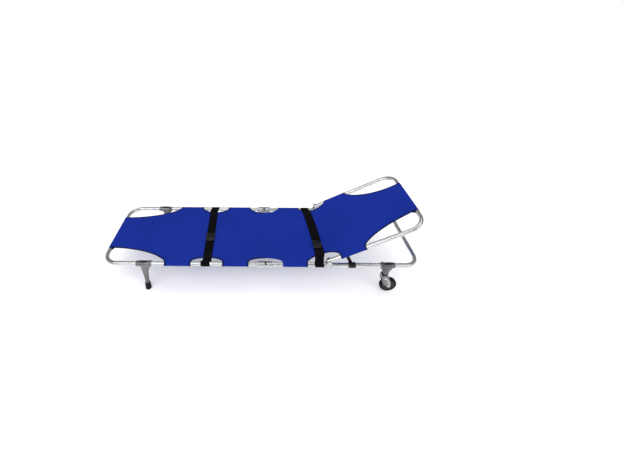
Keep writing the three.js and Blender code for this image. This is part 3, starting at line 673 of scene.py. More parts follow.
pair(low_rivet.make("near_prop_low_rivet", ["steel"], -1), "prop_struts", "fastener",
     ["SIDE_strut_rivet"])

# ---------------------------------------------------------------- legs
SLEEVE_R = 0.0158


def ring_at(cx, cy, z, rx, ry, power=2.0, steps=40):
    out = []
    for k in range(steps):
        t = 2 * math.pi * k / steps
        c, s = math.cos(t), math.sin(t)
        out.append((cx + rx * math.copysign(abs(c) ** (2 / power), c),
                    cy + ry * math.copysign(abs(s) ** (2 / power), s), z))
    return out


def sleeve(shell, x, half, r=SLEEVE_R):
    shell.turn([(0, -half), (r - 0.0006, -half), (r, -half + 0.0006), (r, half - 0.0006),
                (r - 0.0006, half), (0, half)], (x, 0, RAIL_Z), "x", 48)


def top_pad(x, half):
    """The dark plate let into the sleeve's top; its two screws are made by pad_screws."""
    shell = Shell()
    outline = rounded([(x - half, -0.009), (x + half, -0.009), (x + half, 0.009),
                       (x - half, 0.009)], 0.004, 4)
    rings = []
    for r in (0.0152, 0.0170, 0.0176):
        shrink = 0.92 if r > 0.0172 else 1.0
        rings.append([(x + (u - x) * (0.985 if shrink < 1 else 1), r * math.sin(v * shrink / r),
                       RAIL_Z + r * math.cos(v * shrink / r)) for u, v in outline])
    shell.loft(rings)
    return shell


def pad_screws(x, half):
    shell = Shell()
    for way in (-1, 1):
        c = x + way * (half - 0.007)
        shell.turn([(0, 0.0170), (0.0026, 0.0170), (0.0026, 0.0178), (0.0018, 0.0183),
                    (0.0010, 0.0183), (0.0010, 0.0178), (0, 0.0178)], (c, 0, RAIL_Z), "z", 20)
    return shell


def gusset(x, left, right, drop):
    """The web that ties a leg to its sleeve, narrowing down the leg."""
    edges = []
    for reach in (right, -left):
        way = math.copysign(1, reach)
        edges.append([(x + reach, RAIL_Z - 0.006), (x + reach, RAIL_Z - 0.019),
                      (x + reach * 0.66, RAIL_Z - 0.038), (x + way * 0.0150, RAIL_Z - drop)])
    return edges[0] + edges[1][::-1]


leg = Shell()
lx, lh = FOOT_LEG_X, 0.046
sleeve(leg, lx, lh)
leg.loft([ring_at(lx, 0, z, rx, ry, p) for z, rx, ry, p in (
    (0.197, 0.0225, 0.0130, 3.2), (0.180, 0.0212, 0.0129, 3.0), (0.160, 0.0192, 0.0127, 2.8),
    (0.135, 0.0168, 0.0125, 2.5), (0.105, 0.0147, 0.0122, 2.2), (0.070, 0.0129, 0.0120, 2.0),
    (0.040, 0.0119, 0.0118, 2.0), (0.012, 0.0116, 0.0116, 2.0))])
leg.plate(gusset(lx, 0.029, 0.040, 0.074), -0.0045, 0.0045)
bore = Shell()
bore.turn([(0, -0.06), (0.0132, -0.06), (0.0132, 0.06), (0, 0.06)], (lx, 0, RAIL_Z), "x", 64)
near_leg = leg.make("near_front_leg", ["cast"], -1)
bore_tool = bore.make("bore_tool", ["cast"], -1)
cast(near_leg, 0.0014, 5, 0.16, [bore_tool])
pair(near_leg, "SIDE_foot_leg_body", "leg_casting", ["SIDE_foot_leg"])
pair(top_pad(lx, 0.030).make("near_front_leg_pad", ["nylon"], -1), "SIDE_foot_leg_body",
     "black_plastic", [])
pair(pad_screws(lx, 0.030).make("near_front_leg_screws", ["steel"], -1), "SIDE_foot_leg_body",
     "fastener", [])

tip = Shell()
tip.turn([(0, 0.0), (0.0150, 0.0), (0.0170, 0.0008), (0.0178, 0.0030), (0.0176, 0.0080),
          (0.0166, 0.0092), (0.0174, 0.0104), (0.0172, 0.0150), (0.0163, 0.0162),
          (0.0170, 0.0174), (0.0166, 0.0300), (0.0160, 0.0420), (0.0164, 0.0440),
          (0.0160, 0.0476), (0.0148, 0.0484), (0.0125, 0.0480), (0.0122, 0.0400),
          (0.0120, 0.0125), (0, 0.0118)], (lx, 0, 0), "z", 48)
pair(tip.make("near_leg_ferrule", ["rubber"], -1, sharp=45), "SIDE_foot_leg_body", "rubber",
     ["SIDE_foot_tip"])

wleg = Shell()
wx, wh = WHEEL_LEG_X, 0.042
sleeve(wleg, wx, wh)
wleg.loft([ring_at(wx + dx, 0, z, rx, ry, p) for z, rx, ry, p, dx in (
    (0.200, 0.0200, 0.0130, 3.0, 0), (0.178, 0.0188, 0.0130, 3.0, 0), (0.150, 0.0160, 0.0132, 3.4, 0),
    (0.128, 0.0145, 0.0133, 4.0, 0), (0.104, 0.0140, 0.0133, 4.0, 0))])
wleg.plate(gusset(wx, 0.038, 0.038, 0.066), -0.0045, 0.0045)
near_wleg = wleg.make("near_rear_leg", ["cast"], -1)
bore = Shell()
bore.turn([(0, -0.06), (0.0132, -0.06), (0.0132, 0.06), (0, 0.06)], (wx, 0, RAIL_Z), "x", 64)
cast(near_wleg, 0.0014, 5, 0.18, [bore.make("bore_tool", ["cast"], -1)])
pair(near_wleg, "SIDE_wheel_leg_body", "leg_casting", ["SIDE_wheel_leg"])
pair(top_pad(wx, 0.028).make("near_rear_leg_pad", ["nylon"], -1), "SIDE_wheel_leg_body",
     "black_plastic", [])
pair(pad_screws(wx, 0.028).make("near_rear_leg_screws", ["steel"], -1), "SIDE_wheel_leg_body",
     "fastener", [])

# lock buttons, on their sprung shanks
for label, body, node in (("front", "SIDE_foot_lock", "SIDE_foot_lock_button"),
                          ("rear", "SIDE_wheel_lock", "SIDE_wheel_lock_button")):
    lo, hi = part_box(node.replace("SIDE", "near"))
    bx = (lo.x + hi.x) / 2
    button = Shell()
    button.turn([(0, 0.0134), (0.0025, 0.0134), (0.0025, 0.0162), (0.0050, 0.0162),
                 (0.0050, 0.0178), (0.0046, 0.0186), (0.0030, 0.0187), (0.0026, 0.0182),
                 (0, 0.0181)], (0, 0, 0), "z", 28)
    c = math.sqrt(0.5)
    button.verts = [(bx + x, c * y + c * z, RAIL_Z - c * y + c * z) for x, y, z in button.verts]
    pair(button.make(f"near_{label}_lock_knob", ["nylon"], -1), body, "black_plastic", [node])

# ---------------------------------------------------------------- wheels
fork_lo, fork_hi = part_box("near_wheel_fork")
ax, az = AXLE_X, WHEEL_R


def quad(a, b, c, steps=10):
    out = []
    for k in range(steps):
        t = k / steps
        out.append(tuple((1 - t) ** 2 * a[i] + 2 * t * (1 - t) * b[i] + t * t * c[i]
                         for i in (0, 1)))
    return out


def fork_outline(inset=0.0):
    back, top = fork_lo.x + 0.002, fork_hi.z
    arc = [(ax + 0.014 * math.cos(t), az + 0.014 * math.sin(t))
           for t in [math.pi * (1.17 + 0.83 * k / 16) for k in range(17)]]
    out = quad((back + 0.008, top), (back - 0.001, top - 0.002), (back - 0.002, top - 0.024))
    out += quad((back - 0.002, top - 0.024), (back + 0.004, 0.066), arc[0], 14)
    out += arc
    out += quad(arc[-1], (ax + 0.012, 0.082), (ax - 0.006, 0.112), 14)
    out += quad((ax - 0.006, 0.112), (ax - 0.008, top), (ax - 0.018, top))
    cx = sum(p[0] for p in out) / len(out)
    cz = sum(p[1] for p in out) / len(out)
    if inset:
        reach = lambda p: math.hypot(p[0] - cx, p[1] - cz)
        out = [(cx + (p[0] - cx) * (1 - inset / reach(p)), cz + (p[1] - cz) * (1 - inset / reach(p)))
               for p in out]
    return out


fork = Shell()
for s in (-1, 1):
    faces = sorted((s * 0.0152, s * 0.0175))
    fork.plate(fork_outline(), *faces)
    rim = [[(x, s * y, z) for x, z in fork_outline(i)]
           for i, y in ((0.0, 0.0172), (0.0006, 0.0184), (0.0026, 0.0184), (0.0038, 0.0170))]
    fork.loft(rim, True)
    fork.turn([(0.0053, s * 0.0170), (0.0100, s * 0.0170), (0.0096, s * 0.0182),
               (0.0053, s * 0.0182)], (ax, 0, az), "y", 32)
    fork.plate(rounded([(wx - 0.006, 0.076), (wx + 0.006, 0.076), (wx + 0.006, 0.094),
                        (wx - 0.006, 0.094)], 0.0055, 6), *sorted((s * 0.0172, s * 0.0180)))
fork.box((fork_lo.x + 0.0012, fork_lo.x + 0.0042), (-0.0160, 0.0160), (0.1065, 0.1325))
pair(fork.make("near_caster_fork", ["fork"], -1, bevel=0.0005, segments=2),
     "SIDE_wheel_leg_body", "fork_plate", ["SIDE_wheel_fork"])

bolt = Shell()
bolt.turn([(0, 0.0209), (0.0050, 0.0205), (0.0064, 0.0192), (0.0064, 0.0180), (0.004, 0.0179),
           (0.004, -0.0180), (0, -0.0180)], (wx, 0, 0.112), "y", 28)
bolt.turn([(0, -0.0178), (0.0070, -0.0178), (0.0070, -0.0183), (0, -0.0183)], (wx, 0, 0.112),
          "y", 28)
hex_nut(bolt, wx, 0.112, -0.0207, -0.0183, 0.0062)
pair(bolt.make("near_fork_screw", ["steel"], -1, bevel=0.0003, segments=2),
     "SIDE_wheel_leg_body", "fastener", ["SIDE_fork_bolt"])
spindle = Shell()
for s in (-1, 1):
    spindle.turn([(0, s * 0.0182), (0.0085, s * 0.0182), (0.0085, s * 0.0187),
                  (0, s * 0.0187)], (ax, 0, az), "y", 28)
    hex_nut(spindle, ax, az, *sorted((s * 0.0187, s * 0.0207)), 0.0072)
spindle.turn([(0, 0.0216), (0.0045, 0.0214), (0.005, 0.0208), (0.005, -0.0208),
              (0.0045, -0.0214), (0, -0.0216)], (ax, 0, az), "y", 28)
pair(spindle.make("near_wheel_spindle", ["steel"], -1, bevel=0.0003, segments=2),
     "SIDE_wheel_leg_body", "fastener", ["SIDE_axle"])

tyre = Shell()
profile = [(0.0352, -0.0105), (0.0370, -0.0118), (0.0400, -0.0126), (0.0440, -0.0124),
           (0.0470, -0.0112), (0.0488, -0.0090), (0.0496, -0.0066)]
for c in (-0.0045, 0.0, 0.0045):
    profile += [(0.0500, c - 0.0016), (0.0500, c - 0.0008), (0.0488, c - 0.0005),
                (0.0488, c + 0.0005), (0.0500, c + 0.0008), (0.0500, c + 0.0016)]
profile += [(0.0496, 0.0066), (0.0488, 0.0090), (0.0470, 0.0112), (0.0440, 0.0124),
            (0.0400, 0.0126), (0.0370, 0.0118), (0.0352, 0.0105), (0.0346, 0.0)]
tyre.turn(profile, (ax, 0, az), "y", 96)
pair(tyre.make("near_wheel_tyre", ["tyre"], -1, sharp=45), "SIDE_wheel", "tyre", ["SIDE_tyre"])
hub = Shell()
hub.turn([(0.0053, -0.0126), (0.0110, -0.0126), (0.0122, -0.0116), (0.0128, -0.0040),
          (0.0285, -0.0034), (0.0298, -0.0090), (0.0308, -0.0104), (0.0340, -0.0104),
          (0.0345, -0.0090), (0.0345, 0.0090), (0.0340, 0.0104), (0.0308, 0.0104),
          (0.0298, 0.0090), (0.0285, 0.0034), (0.0128, 0.0040), (0.0122, 0.0116),
          (0.0110, 0.0126), (0.0053, 0.0126)], (ax, 0, az), "y", 72)
for k in range(6):
    t = math.pi / 3 * k
    c, s = math.cos(t), math.sin(t)
    ribs = []
    for r, w, d in ((0.0118, 0.0022, 0.0100), (0.0305, 0.0018, 0.0078)):
        ribs.append([(ax + c * r - s * a, b, az + s * r + c * a)
                     for a, b in ((-w, -d), (w, -d), (w, d), (-w, d))])
    hub.loft(ribs)
pair(hub.make("near_wheel_hub", ["grey"], -1, sharp=35, bevel=0.0004, segments=2), "SIDE_wheel",
     "black_plastic", ["SIDE_hub"])

# ---------------------------------------------------------------- the sheet's line along the bed
FLAT_Z = RAIL_Z + SHEET_R
CREASE_X = 0.338
FOOT_WRAP = (-0.570, -0.414)
MID_WRAP = (-0.226, -0.072)
SEAT_WRAP = (0.132, 0.278)
BACK_WRAP = (0.075, 0.230)


def bed_line():
    """Points along the sheet's centre line in (x, z), foot end to head end, with their length."""
    bend = 0.014
    back0 = on_back(BACK_WRAP[0], SHEET_R)
    slope = Vector((back0[0] - CREASE_X, back0[1] - FLAT_Z)).normalized()
    points = [(x, FLAT_Z) for x in np.arange(-END_X, CREASE_X - bend, 0.004)]
    a, b = (CREASE_X - bend, FLAT_Z), (CREASE_X, FLAT_Z)
    c = (CREASE_X + slope.x * bend, FLAT_Z + slope.y * bend)
    points += quad(a, b, c, 8)
    for t in np.linspace(0, 1, 30)[:-1]:
        points.append((c[0] + (back0[0] - c[0]) * t, c[1] + (back0[1] - c[1]) * t))
    points += [on_back(d, SHEET_R) for d in np.arange(BACK_WRAP[0], BACK_END, 0.004)]
    points.append(on_back(BACK_END, SHEET_R))
    points = np.array(points)
    steps = np.hypot(*np.diff(points, axis=0).T)
    return points, np.concatenate([[0], np.cumsum(steps)]) - END_X


LINE, LINE_S = bed_line()
S_BACK = float(np.interp(on_back(BACK_WRAP[0], SHEET_R)[0], LINE[:, 0], LINE_S))
S_BACK1 = S_BACK + BACK_WRAP[1] - BACK_WRAP[0]
S_END = float(LINE_S[-1])
WRAPS = [FOOT_WRAP, MID_WRAP, SEAT_WRAP, (S_BACK, S_BACK1)]


def line_at(s):
    s = np.asarray(s, float)
    x, z = np.interp(s, LINE_S, LINE[:, 0]), np.interp(s, LINE_S, LINE[:, 1])
    h = 0.004
    tx_ = np.interp(s + h, LINE_S, LINE[:, 0]) - np.interp(s - h, LINE_S, LINE[:, 0])
    tz_ = np.interp(s + h, LINE_S, LINE[:, 1]) - np.interp(s - h, LINE_S, LINE[:, 1])
    size = np.hypot(tx_, tz_)
    return x, z, tx_ / size, tz_ / size


def scallop(t, q):
    return 1 - (1 - np.clip(t, 0, 1) ** 2) ** (1 / q)


def half_width(s, side):
    """The sheet's reach to one side at s: out to the rail in the wraps, scalloped in between."""
    if s < FOOT_WRAP[0]:
        t = (s + END_X) / (FOOT_WRAP[0] + END_X)
        return 0.142 + (RAIL_Y - 0.142) * scallop(t, 1.5)
    if s > S_BACK1:
        t = (S_END - s) / (S_END - S_BACK1)
        return 0.137 + (RAIL_Y - 0.137) * scallop(t, 1.5)
    gaps = [(FOOT_WRAP[1], MID_WRAP[0], 0.2105, 2.0), (MID_WRAP[1], SEAT_WRAP[0], 0.2100, 2.0),
            (SEAT_WRAP[1], S_BACK, 0.2040 + side * 0.0080, 1.7)]
    for a, b, low, q in gaps:
        if a < s < b:
            return low + (RAIL_Y - low) * scallop(abs(s - (a + b) / 2) / ((b - a) / 2), q)
    return RAIL_Y


def stations():
    """Distances along the bed, closer together where a scallop meets a rail."""
    marks = [-END_X, FOLD_X, 0.200, S_END] + [m for w in WRAPS for m in w]
    out = []
    marks = sorted(marks)
    ends = [m for w in WRAPS for m in w]
    for a, b in zip(marks, marks[1:]):
        s = a
        while s < b - 1e-6:
            out.append(s)
            near_end = min(abs(s - e) for e in ends)
            s += 0.0015 if near_end < 0.004 else 0.003 if near_end < 0.014 else 0.0075
        if b - out[-1] < 0.0012:
            out.pop()
    out.append(marks[-1])
    return np.array(out)


S = stations()
COLS = 61
V = np.sin(np.linspace(-1, 1, COLS) * math.pi / 2 * 0.82) / math.sin(math.pi / 2 * 0.82)
REACH = {side: np.array([half_width(s, side) for s in S]) for side in (-1, 1)}
in_wrap = np.array([any(a - 1e-6 <= s <= b + 1e-6 for a, b in WRAPS) for s in S])
px, pz, dx, dz = line_at(S)
REST = np.zeros((len(S), COLS, 3))
REST[:, :, 0] = px[:, None]
REST[:, :, 1] = np.where(V < 0, REACH[-1][:, None], REACH[1][:, None]) * V
REST[:, :, 2] = pz[:, None]


def pinned():
    held = np.zeros((len(S), COLS), bool)
    held[in_wrap] = np.abs(REST[in_wrap][:, :, 1]) > RAIL_Y - 0.016
    held[S < -END_X + 0.006] = True
    held[S > S_END - 0.006] = True
    return held


# the most the sheet sags: its foot panel is taut, clear of the foot legs folded under it
LEAST_SAG, MOST_SAG = 0.0030, 0.016
slack = np.clip((S + 0.63) / 0.27, 0, 1)
slack = slack ** 2 * (3 - 2 * slack)


def sag_by_shape():
    """A smooth sag, the simulation's starting shape."""
    down = np.zeros((len(S), COLS))
    run = np.sin(np.pi * np.clip((S + END_X) / (CREASE_X + END_X), 0, 1)) ** 0.5
    up = np.sin(np.pi * np.clip((S - CREASE_X) / (S_END - CREASE_X), 0, 1)) ** 0.7
    across_sag = 1 - (np.abs(REST[:, :, 1]) / RAIL_Y) ** 2.2
    down = np.clip(across_sag, 0, 1) * (0.011 * run + 0.010 * up)[:, None]
    down *= (0.25 + 0.75 * slack)[:, None]
    out = REST.copy()
    out[:, :, 0] += down * dz[:, None]
    out[:, :, 2] -= down * dx[:, None]
    return out


def simulate():
    """Hangs the sheet between the rails and end tubes, then reads its settled shape."""
    rng = np.random.default_rng(7)
    start = sag_by_shape()
    start = REST + 0.55 * (start - REST)
    held = pinned()
    noise = rng.normal(0, 0.0006, (len(S), COLS))
    for _ in range(6):
        noise[1:-1] = (noise[:-2] + noise[1:-1] + noise[2:]) / 3
        noise[:, 1:-1] = (noise[:, :-2] + noise[:, 1:-1] + noise[:, 2:]) / 3
    start[:, :, 2] += np.where(held, 0, noise * 3)
    faces = [[i * COLS + j, i * COLS + j + 1, (i + 1) * COLS + j + 1, (i + 1) * COLS + j]
             for i in range(len(S) - 1) for j in range(COLS - 1)]
    mesh = bpy.data.meshes.new("hang")
    mesh.from_pydata(start.reshape(-1, 3).tolist(), [], faces)
    obj = bpy.data.objects.new("hang", mesh)
    bpy.context.scene.collection.objects.link(obj)
    group = obj.vertex_groups.new(name="held")
    group.add([int(i) for i in np.flatnonzero(held.ravel())], 1.0, "REPLACE")
    mod = obj.modifiers.new("cloth", "CLOTH")
    cloth = mod.settings
    cloth.quality = 8
    cloth.mass = 0.10
    cloth.tension_stiffness = 60
    cloth.compression_stiffness = 30
    cloth.shear_stiffness = 25
    cloth.bending_stiffness = 1.5
    cloth.tension_damping = 15
    cloth.air_damping = 4
    cloth.vertex_group_mass = "held"
    cloth.pin_stiffness = 1.0
    mod.collision_settings.use_collision = False
    mod.point_cache.frame_start = 1
    mod.point_cache.frame_end = 26
    scene = bpy.context.scene
    for f in range(1, 27):
        scene.frame_set(f)
    graph = bpy.context.evaluated_depsgraph_get()
    moved = obj.evaluated_get(graph).to_mesh()
    co = np.zeros(len(moved.vertices) * 3)
    moved.vertices.foreach_get("co", co)
    co = co.reshape(REST.shape)
    bpy.data.objects.remove(obj)
    scene.frame_set(1)
    shift = co - REST
    down = shift[:, :, 0] * -dz[:, None] + shift[:, :, 2] * dx[:, None]
    cap = (LEAST_SAG + (MOST_SAG - LEAST_SAG) * slack)[:, None]
    capped = np.where(down < 0, cap * np.tanh(down / cap), np.minimum(down, 0.002))
    out = co.copy()
    out[:, :, 0] += (capped - down) * -dz[:, None]
    out[:, :, 2] += (capped - down) * dx[:, None]
    out[held] = REST[held]
    print("sheet sag mm", round(float(-down.min() * 1000), 1), "kept",
          round(float(-capped.min() * 1000), 1))
    return out


GRID = simulate()
# where the sheet is stretched over a rail it lies flat on the tube
near_rail = np.clip((np.abs(REST[:, :, 1]) - (RAIL_Y - 0.030)) / 0.018, 0, 1)
near_rail = np.where(in_wrap[:, None], near_rail ** 2 * (3 - 2 * near_rail), 0)[:, :, None]
GRID = GRID * (1 - near_rail) + REST * near_rail


def surface_at(x, y):
    """Height of the sheet at a point of the bed, on the flat or just up the slope."""
    i = int(np.clip(np.searchsorted(px, x), 1, len(S) - 1))
    t = np.clip((x - px[i - 1]) / (px[i] - px[i - 1]), 0, 1)
    low, high = (np.interp(y, GRID[k, :, 1], GRID[k, :, 2]) for k in (i - 1, i))
    return float(low * (1 - t) + high * t)


# ---------------------------------------------------------------- sheet meshes
HEM_IN = 0.028
NOTCH = (S_BACK + (math.hypot(tx - PIVOT_X, tz - PIVOT_Z) - BACK_WRAP[0]) + 0.020, 0.037)
TURN = np.linspace(90, -139.3, 20)[1:]


def frame_point(i, side, outboard, up):
    """A point beside station i: outboard of the rail axis and up from it, square to the bed."""
    cx, cz = px[i] + dz[i] * SHEET_R, pz[i] - dx[i] * SHEET_R
    return np.array([cx - dz[i] * up, side * (RAIL_Y + outboard), cz + dx[i] * up])


def wrap_columns(i, side):
    """From the rail's top round its outside and back up to the hem under the sheet."""
    r = SHEET_R
    out = [frame_point(i, side, r * math.cos(math.radians(a)), r * math.sin(math.radians(a)))
           for a in TURN]
    j = int(np.argmin(np.abs(np.abs(GRID[i, :, 1]) - (RAIL_Y - HEM_IN)) +
                      (np.sign(GRID[i, :, 1]) != side) * 9))
    hem = GRID[i, j] - np.array([-dz[i], 0, dx[i]]) * 0.0016
    for t in (0.2, 0.4, 0.6, 0.8, 1.0):
        p = out[len(TURN) - 1] * (1 - t) + hem * t
        out.append(p)
    return out


def end_rows(i, tube_x, tube_z, way):
    """From an end tube's top round it and back to the hem under the sheet, row by row."""
    rows = []
    r = SHEET_R
    ux, uz = dx[i] * way, dz[i] * way
    nx, nz = -dz[i], dx[i]
    for a in TURN:
        c, s_ = math.cos(math.radians(a)) * r, math.sin(math.radians(a)) * r
        rows.append(np.array([[tube_x + ux * c + nx * s_, y, tube_z + uz * c + nz * s_]
                              for y in GRID[i, :, 1]]))
    k = int(np.argmin(np.abs(np.abs(S - S[i]) - HEM_IN)))
    hem = GRID[k] - np.array([nx, 0, nz]) * 0.0016
    hem[:, 1] = GRID[i, :, 1]
    last = rows[-1]
    for t in (0.25, 0.5, 0.75, 1.0):
        rows.append(last * (1 - t) + hem * t)
    return rows


class Cloth:
    """One piece of the sheet between two stations, as a surface to be thickened."""

    def __init__(self, s0, s1):
        self.i0 = int(np.argmin(np.abs(S - s0)))
        self.i1 = int(np.argmin(np.abs(S - s1)))
        self.index, self.verts, self.uv, self.faces = {}, [], [], []

    def vertex(self, key, point, uv):
        if key not in self.index:
            self.index[key] = len(self.verts)
            self.verts.append(tuple(point))
            self.uv.append(uv)
        return self.index[key]

    def quad(self, keys):
        self.faces.append([self.index[k] for k in keys])

    def fill(self):
        for i in range(self.i0, self.i1 + 1):
            for j in range(COLS):
                self.vertex((i, j), GRID[i, j], (S[i], REST[i, j, 1]))
        for i in range(self.i0, self.i1):
            for j in range(COLS - 1):
                self.quad([(i, j), (i, j + 1), (i + 1, j + 1), (i + 1, j)])
        for side in (-1, 1):
            edge = 0 if side < 0 else COLS - 1
            for i in range(self.i0, self.i1 + 1):
                if in_wrap[i]:
                    self.index[(i, side, 0)] = self.index[(i, edge)]
                    for k, p in enumerate(wrap_columns(i, side)):
                        self.vertex((i, side, k + 1), p, (S[i], side * (RAIL_Y + 0.003 * (k + 1))))
            for i in range(self.i0, self.i1):
                if in_wrap[i] and in_wrap[i + 1] and not self.gap(i):
                    notched = abs((S[i] + S[i + 1]) / 2 - NOTCH[0]) < NOTCH[1]
                    last = 15 if notched else len(TURN) + 5
                    for k in range(last):
                        face = [(i, side, k), (i, side, k + 1), (i + 1, side, k + 1),
                                (i + 1, side, k)]
                        self.quad(face if side > 0 else face[::-1])
        if self.i0 == 0:
            self.hem_end(0, -END_X, RAIL_Z, -1)
        if self.i1 == len(S) - 1:
            ex, ez = on_back(BACK_END)
            self.hem_end(len(S) - 1, ex, ez, 1)

    def gap(self, i):
        middle = (S[i] + S[i + 1]) / 2
        return not any(a < middle < b for a, b in WRAPS)

    def hem_end(self, i, tube_x, tube_z, way):
        before = [(i, j) for j in range(COLS)]
        for n, row in enumerate(end_rows(i, tube_x, tube_z, way)):
            now = [("end", i, n, j) for j in range(COLS)]
            for j in range(COLS):
                self.vertex(now[j], row[j], (S[i] + way * 0.003 * (n + 1), REST[i, j, 1]))
            for j in range(COLS - 1):
                self.quad([before[j], before[j + 1], now[j + 1], now[j]])
            before = now

    def object(self, name):
        used = sorted({v for f in self.faces for v in f})
        renumber = {v: n for n, v in enumerate(used)}
        mesh = bpy.data.meshes.new(name)
        mesh.from_pydata([self.verts[v] for v in used], [],
                         [[renumber[v] for v in f] for f in self.faces])
        mesh.update()
        layer = mesh.uv_layers.new(name="cloth")
        for loop in mesh.loops:
            layer.data[loop.index].uv = self.uv[used[loop.vertex_index]]
        for m in ("sheet", "binding", "thread"):
            mesh.materials.append(MAT[m])
        mesh.shade_smooth()
        made = bpy.data.objects.new(name, mesh)
        bpy.context.scene.collection.objects.link(made)
        mod = made.modifiers.new("thick", "SOLIDIFY")
        mod.thickness = SHEET_T
        mod.offset = 0
        mod.use_even_offset = False
        made = applied(made)
        made.data.set_sharp_from_angle(angle=math.radians(50))
        return made


def smooth_normals(points):
    out = np.gradient(points, axis=0)
    return out / np.maximum(np.linalg.norm(out, axis=1), 1e-9)[:, None]


def edge_paths(cloth):
    """Free edges of a piece, each as points and surface normals, ordered foot to head."""
    paths = []
    surface_n = np.zeros_like(GRID)
    du, dv = np.gradient(GRID, axis=0), np.gradient(GRID, axis=1)
    surface_n = np.cross(du, dv)
    surface_n /= np.maximum(np.linalg.norm(surface_n, axis=2), 1e-12)[:, :, None]
    for side in (-1, 1):
        edge = 0 if side < 0 else COLS - 1
        run = []
        for i in range(cloth.i0, cloth.i1 + 1):
            boundary = in_wrap[i] and any(abs(S[i] - m) < 1e-6 for w in WRAPS for m in w)
            free = not in_wrap[i]
            if free or boundary:
                if boundary and not run:
                    run += wrap_edge(i, side, True)
                run.append((GRID[i, edge], surface_n[i, edge]))
                if boundary and len(run) > 8 + len(TURN):
                    run += wrap_edge(i, side, False)
                    paths.append((side, run))
                    run = []
                elif boundary and free is False and len(run) <= 8 + len(TURN) and i > cloth.i0:
                    after = i + 1 <= cloth.i1 and not in_wrap[i + 1]
                    if not after:
                        if len(run) > 1 + len(TURN):
                            run += wrap_edge(i, side, False)
                            paths.append((side, run))
                        run = []
        if len(run) > 4:
            paths.append((side, run))
    return paths


def wrap_edge(i, side, inward):
    """The hem of a wrap, round the tube from underneath up to the top or back down."""
    pts = []
    for a, p in zip(TURN[:12], wrap_columns(i, side)[:12]):
        n = frame_point(i, side, 2 * math.cos(math.radians(a)), 2 * math.sin(math.radians(a))) - p
        pts.append((p, n / np.linalg.norm(n)))
    return pts[::-1] if inward else pts


def resample(points, normals, step):
    lengths = np.concatenate([[0], np.cumsum(np.linalg.norm(np.diff(points, axis=0), axis=1))])
    count = max(int(lengths[-1] / step), 2)
    at = np.linspace(0, lengths[-1], count + 1)
    new_p = np.stack([np.interp(at, lengths, points[:, k]) for k in range(3)], 1)
    new_n = np.stack([np.interp(at, lengths, normals[:, k]) for k in range(3)], 1)
    return new_p, new_n / np.linalg.norm(new_n, axis=1)[:, None], at


BIND = [(0.0082, 0.0009), (0.0076, 0.0013), (0.0006, 0.0014), (-0.0007, 0.0010), (-0.0011, 0.0),
        (-0.0007, -0.0010), (0.0006, -0.0014), (0.0076, -0.0013), (0.0082, -0.0009)]


def stitch(shell, p, t, n, length, slot, half_wide=0.00045, high=0.00040):
    """A short raised thread lying along t on a surface facing n."""
    b = np.cross(n, t)
    rings = []
    for a, w, h in ((-0.5, 0.3, 0.1), (-0.3, 0.9, 0.85), (0.0, 1.0, 1.0), (0.3, 0.9, 0.85),
                    (0.5, 0.3, 0.1)):
        c = p + t * a * length
        rings.append([c + b * half_wide * w, c + n * high * h + b * half_wide * w * 0.5,
                      c + n * high * h - b * half_wide * w * 0.5, c - b * half_wide * w,
                      c - n * 0.0003])
    shell.loft(rings, False, slot)


def bind_and_sew(cloth, shell):
    for side, run in edge_paths(cloth):
        p = np.array([q[0] for q in run])
        n = np.array([q[1] for q in run])
        p, n, at = resample(p, n, 0.004)
        t = smooth_normals(p)
        inward = np.cross(n, t)
        inward *= -np.sign(np.median(inward[:, 1] * side)) if abs(
            np.median(inward[:, 1])) > 1e-3 else 1
        mid = len(p) // 2
        if inward[mid, 1] * side > 0:
            inward = -inward
        rings, uvs = [], []
        for k in range(len(p)):
            rings.append([p[k] + inward[k] * a + n[k] * b for a, b in BIND])
            uvs += [(float(at[k]), a) for a, _ in BIND]
        shell.loft(rings, False, 1, uvs)
        q, m, at2 = resample(p + inward * 0.0064 + n * 0.0013, n, 0.0052)
        t2 = smooth_normals(q)
        for k in range(1, len(q) - 1):
            stitch(shell, q[k], t2[k], m[k], 0.0036, 2)
    for a, b in WRAPS:
        rows = [i for i in range(cloth.i0, cloth.i1 + 1) if a + 0.003 < S[i] < b - 0.003]
        if len(rows) < 3:
            continue
        for side in (-1, 1):
            for inset in (HEM_IN - 0.003, HEM_IN - 0.008):
                p = []
                for i in rows:
                    y = side * (RAIL_Y - inset)
                    z = [np.interp(y, GRID[i, :, 1], GRID[i, :, c]) for c in (0, 2)]
                    p.append([z[0] - dz[i] * 0.0005, y, z[1] + dx[i] * 0.0005])
                n = np.array([[-dz[i], 0, dx[i]] for i in rows])
                q, m, _ = resample(np.array(p), n, 0.0052)
                t2 = smooth_normals(q)
                for k in range(len(q)):
                    stitch(shell, q[k], t2[k], m[k], 0.0036, 2)
    for i, way in ((0, -1), (len(S) - 1, 1)):
        if not cloth.i0 <= i <= cloth.i1:
            continue
        for inset in (HEM_IN - 0.003, HEM_IN - 0.008):
            k = int(np.argmin(np.abs(np.abs(S - S[i]) - inset)))
            row = GRID[k] + np.array([-dz[i], 0, dx[i]]) * 0.0005
            n = np.tile([-dz[i], 0, dx[i]], (COLS, 1))
            q, m, _ = resample(row[2:-2], n[2:-2], 0.0052)
            t2 = smooth_normals(q)
            for c in range(len(q)):
                stitch(shell, q[c], t2[c], m[c], 0.0036, 2)


def sheet_piece(name, s0, s1, node):
    cloth = Cloth(s0, s1)
    cloth.fill()
    body = cloth.object(name)
    trim = Shell()
    bind_and_sew(cloth, trim)
    extra = trim.make(name + "_trim", ["sheet", "binding", "thread"], sharp=50)
    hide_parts(node)
    return body, extra


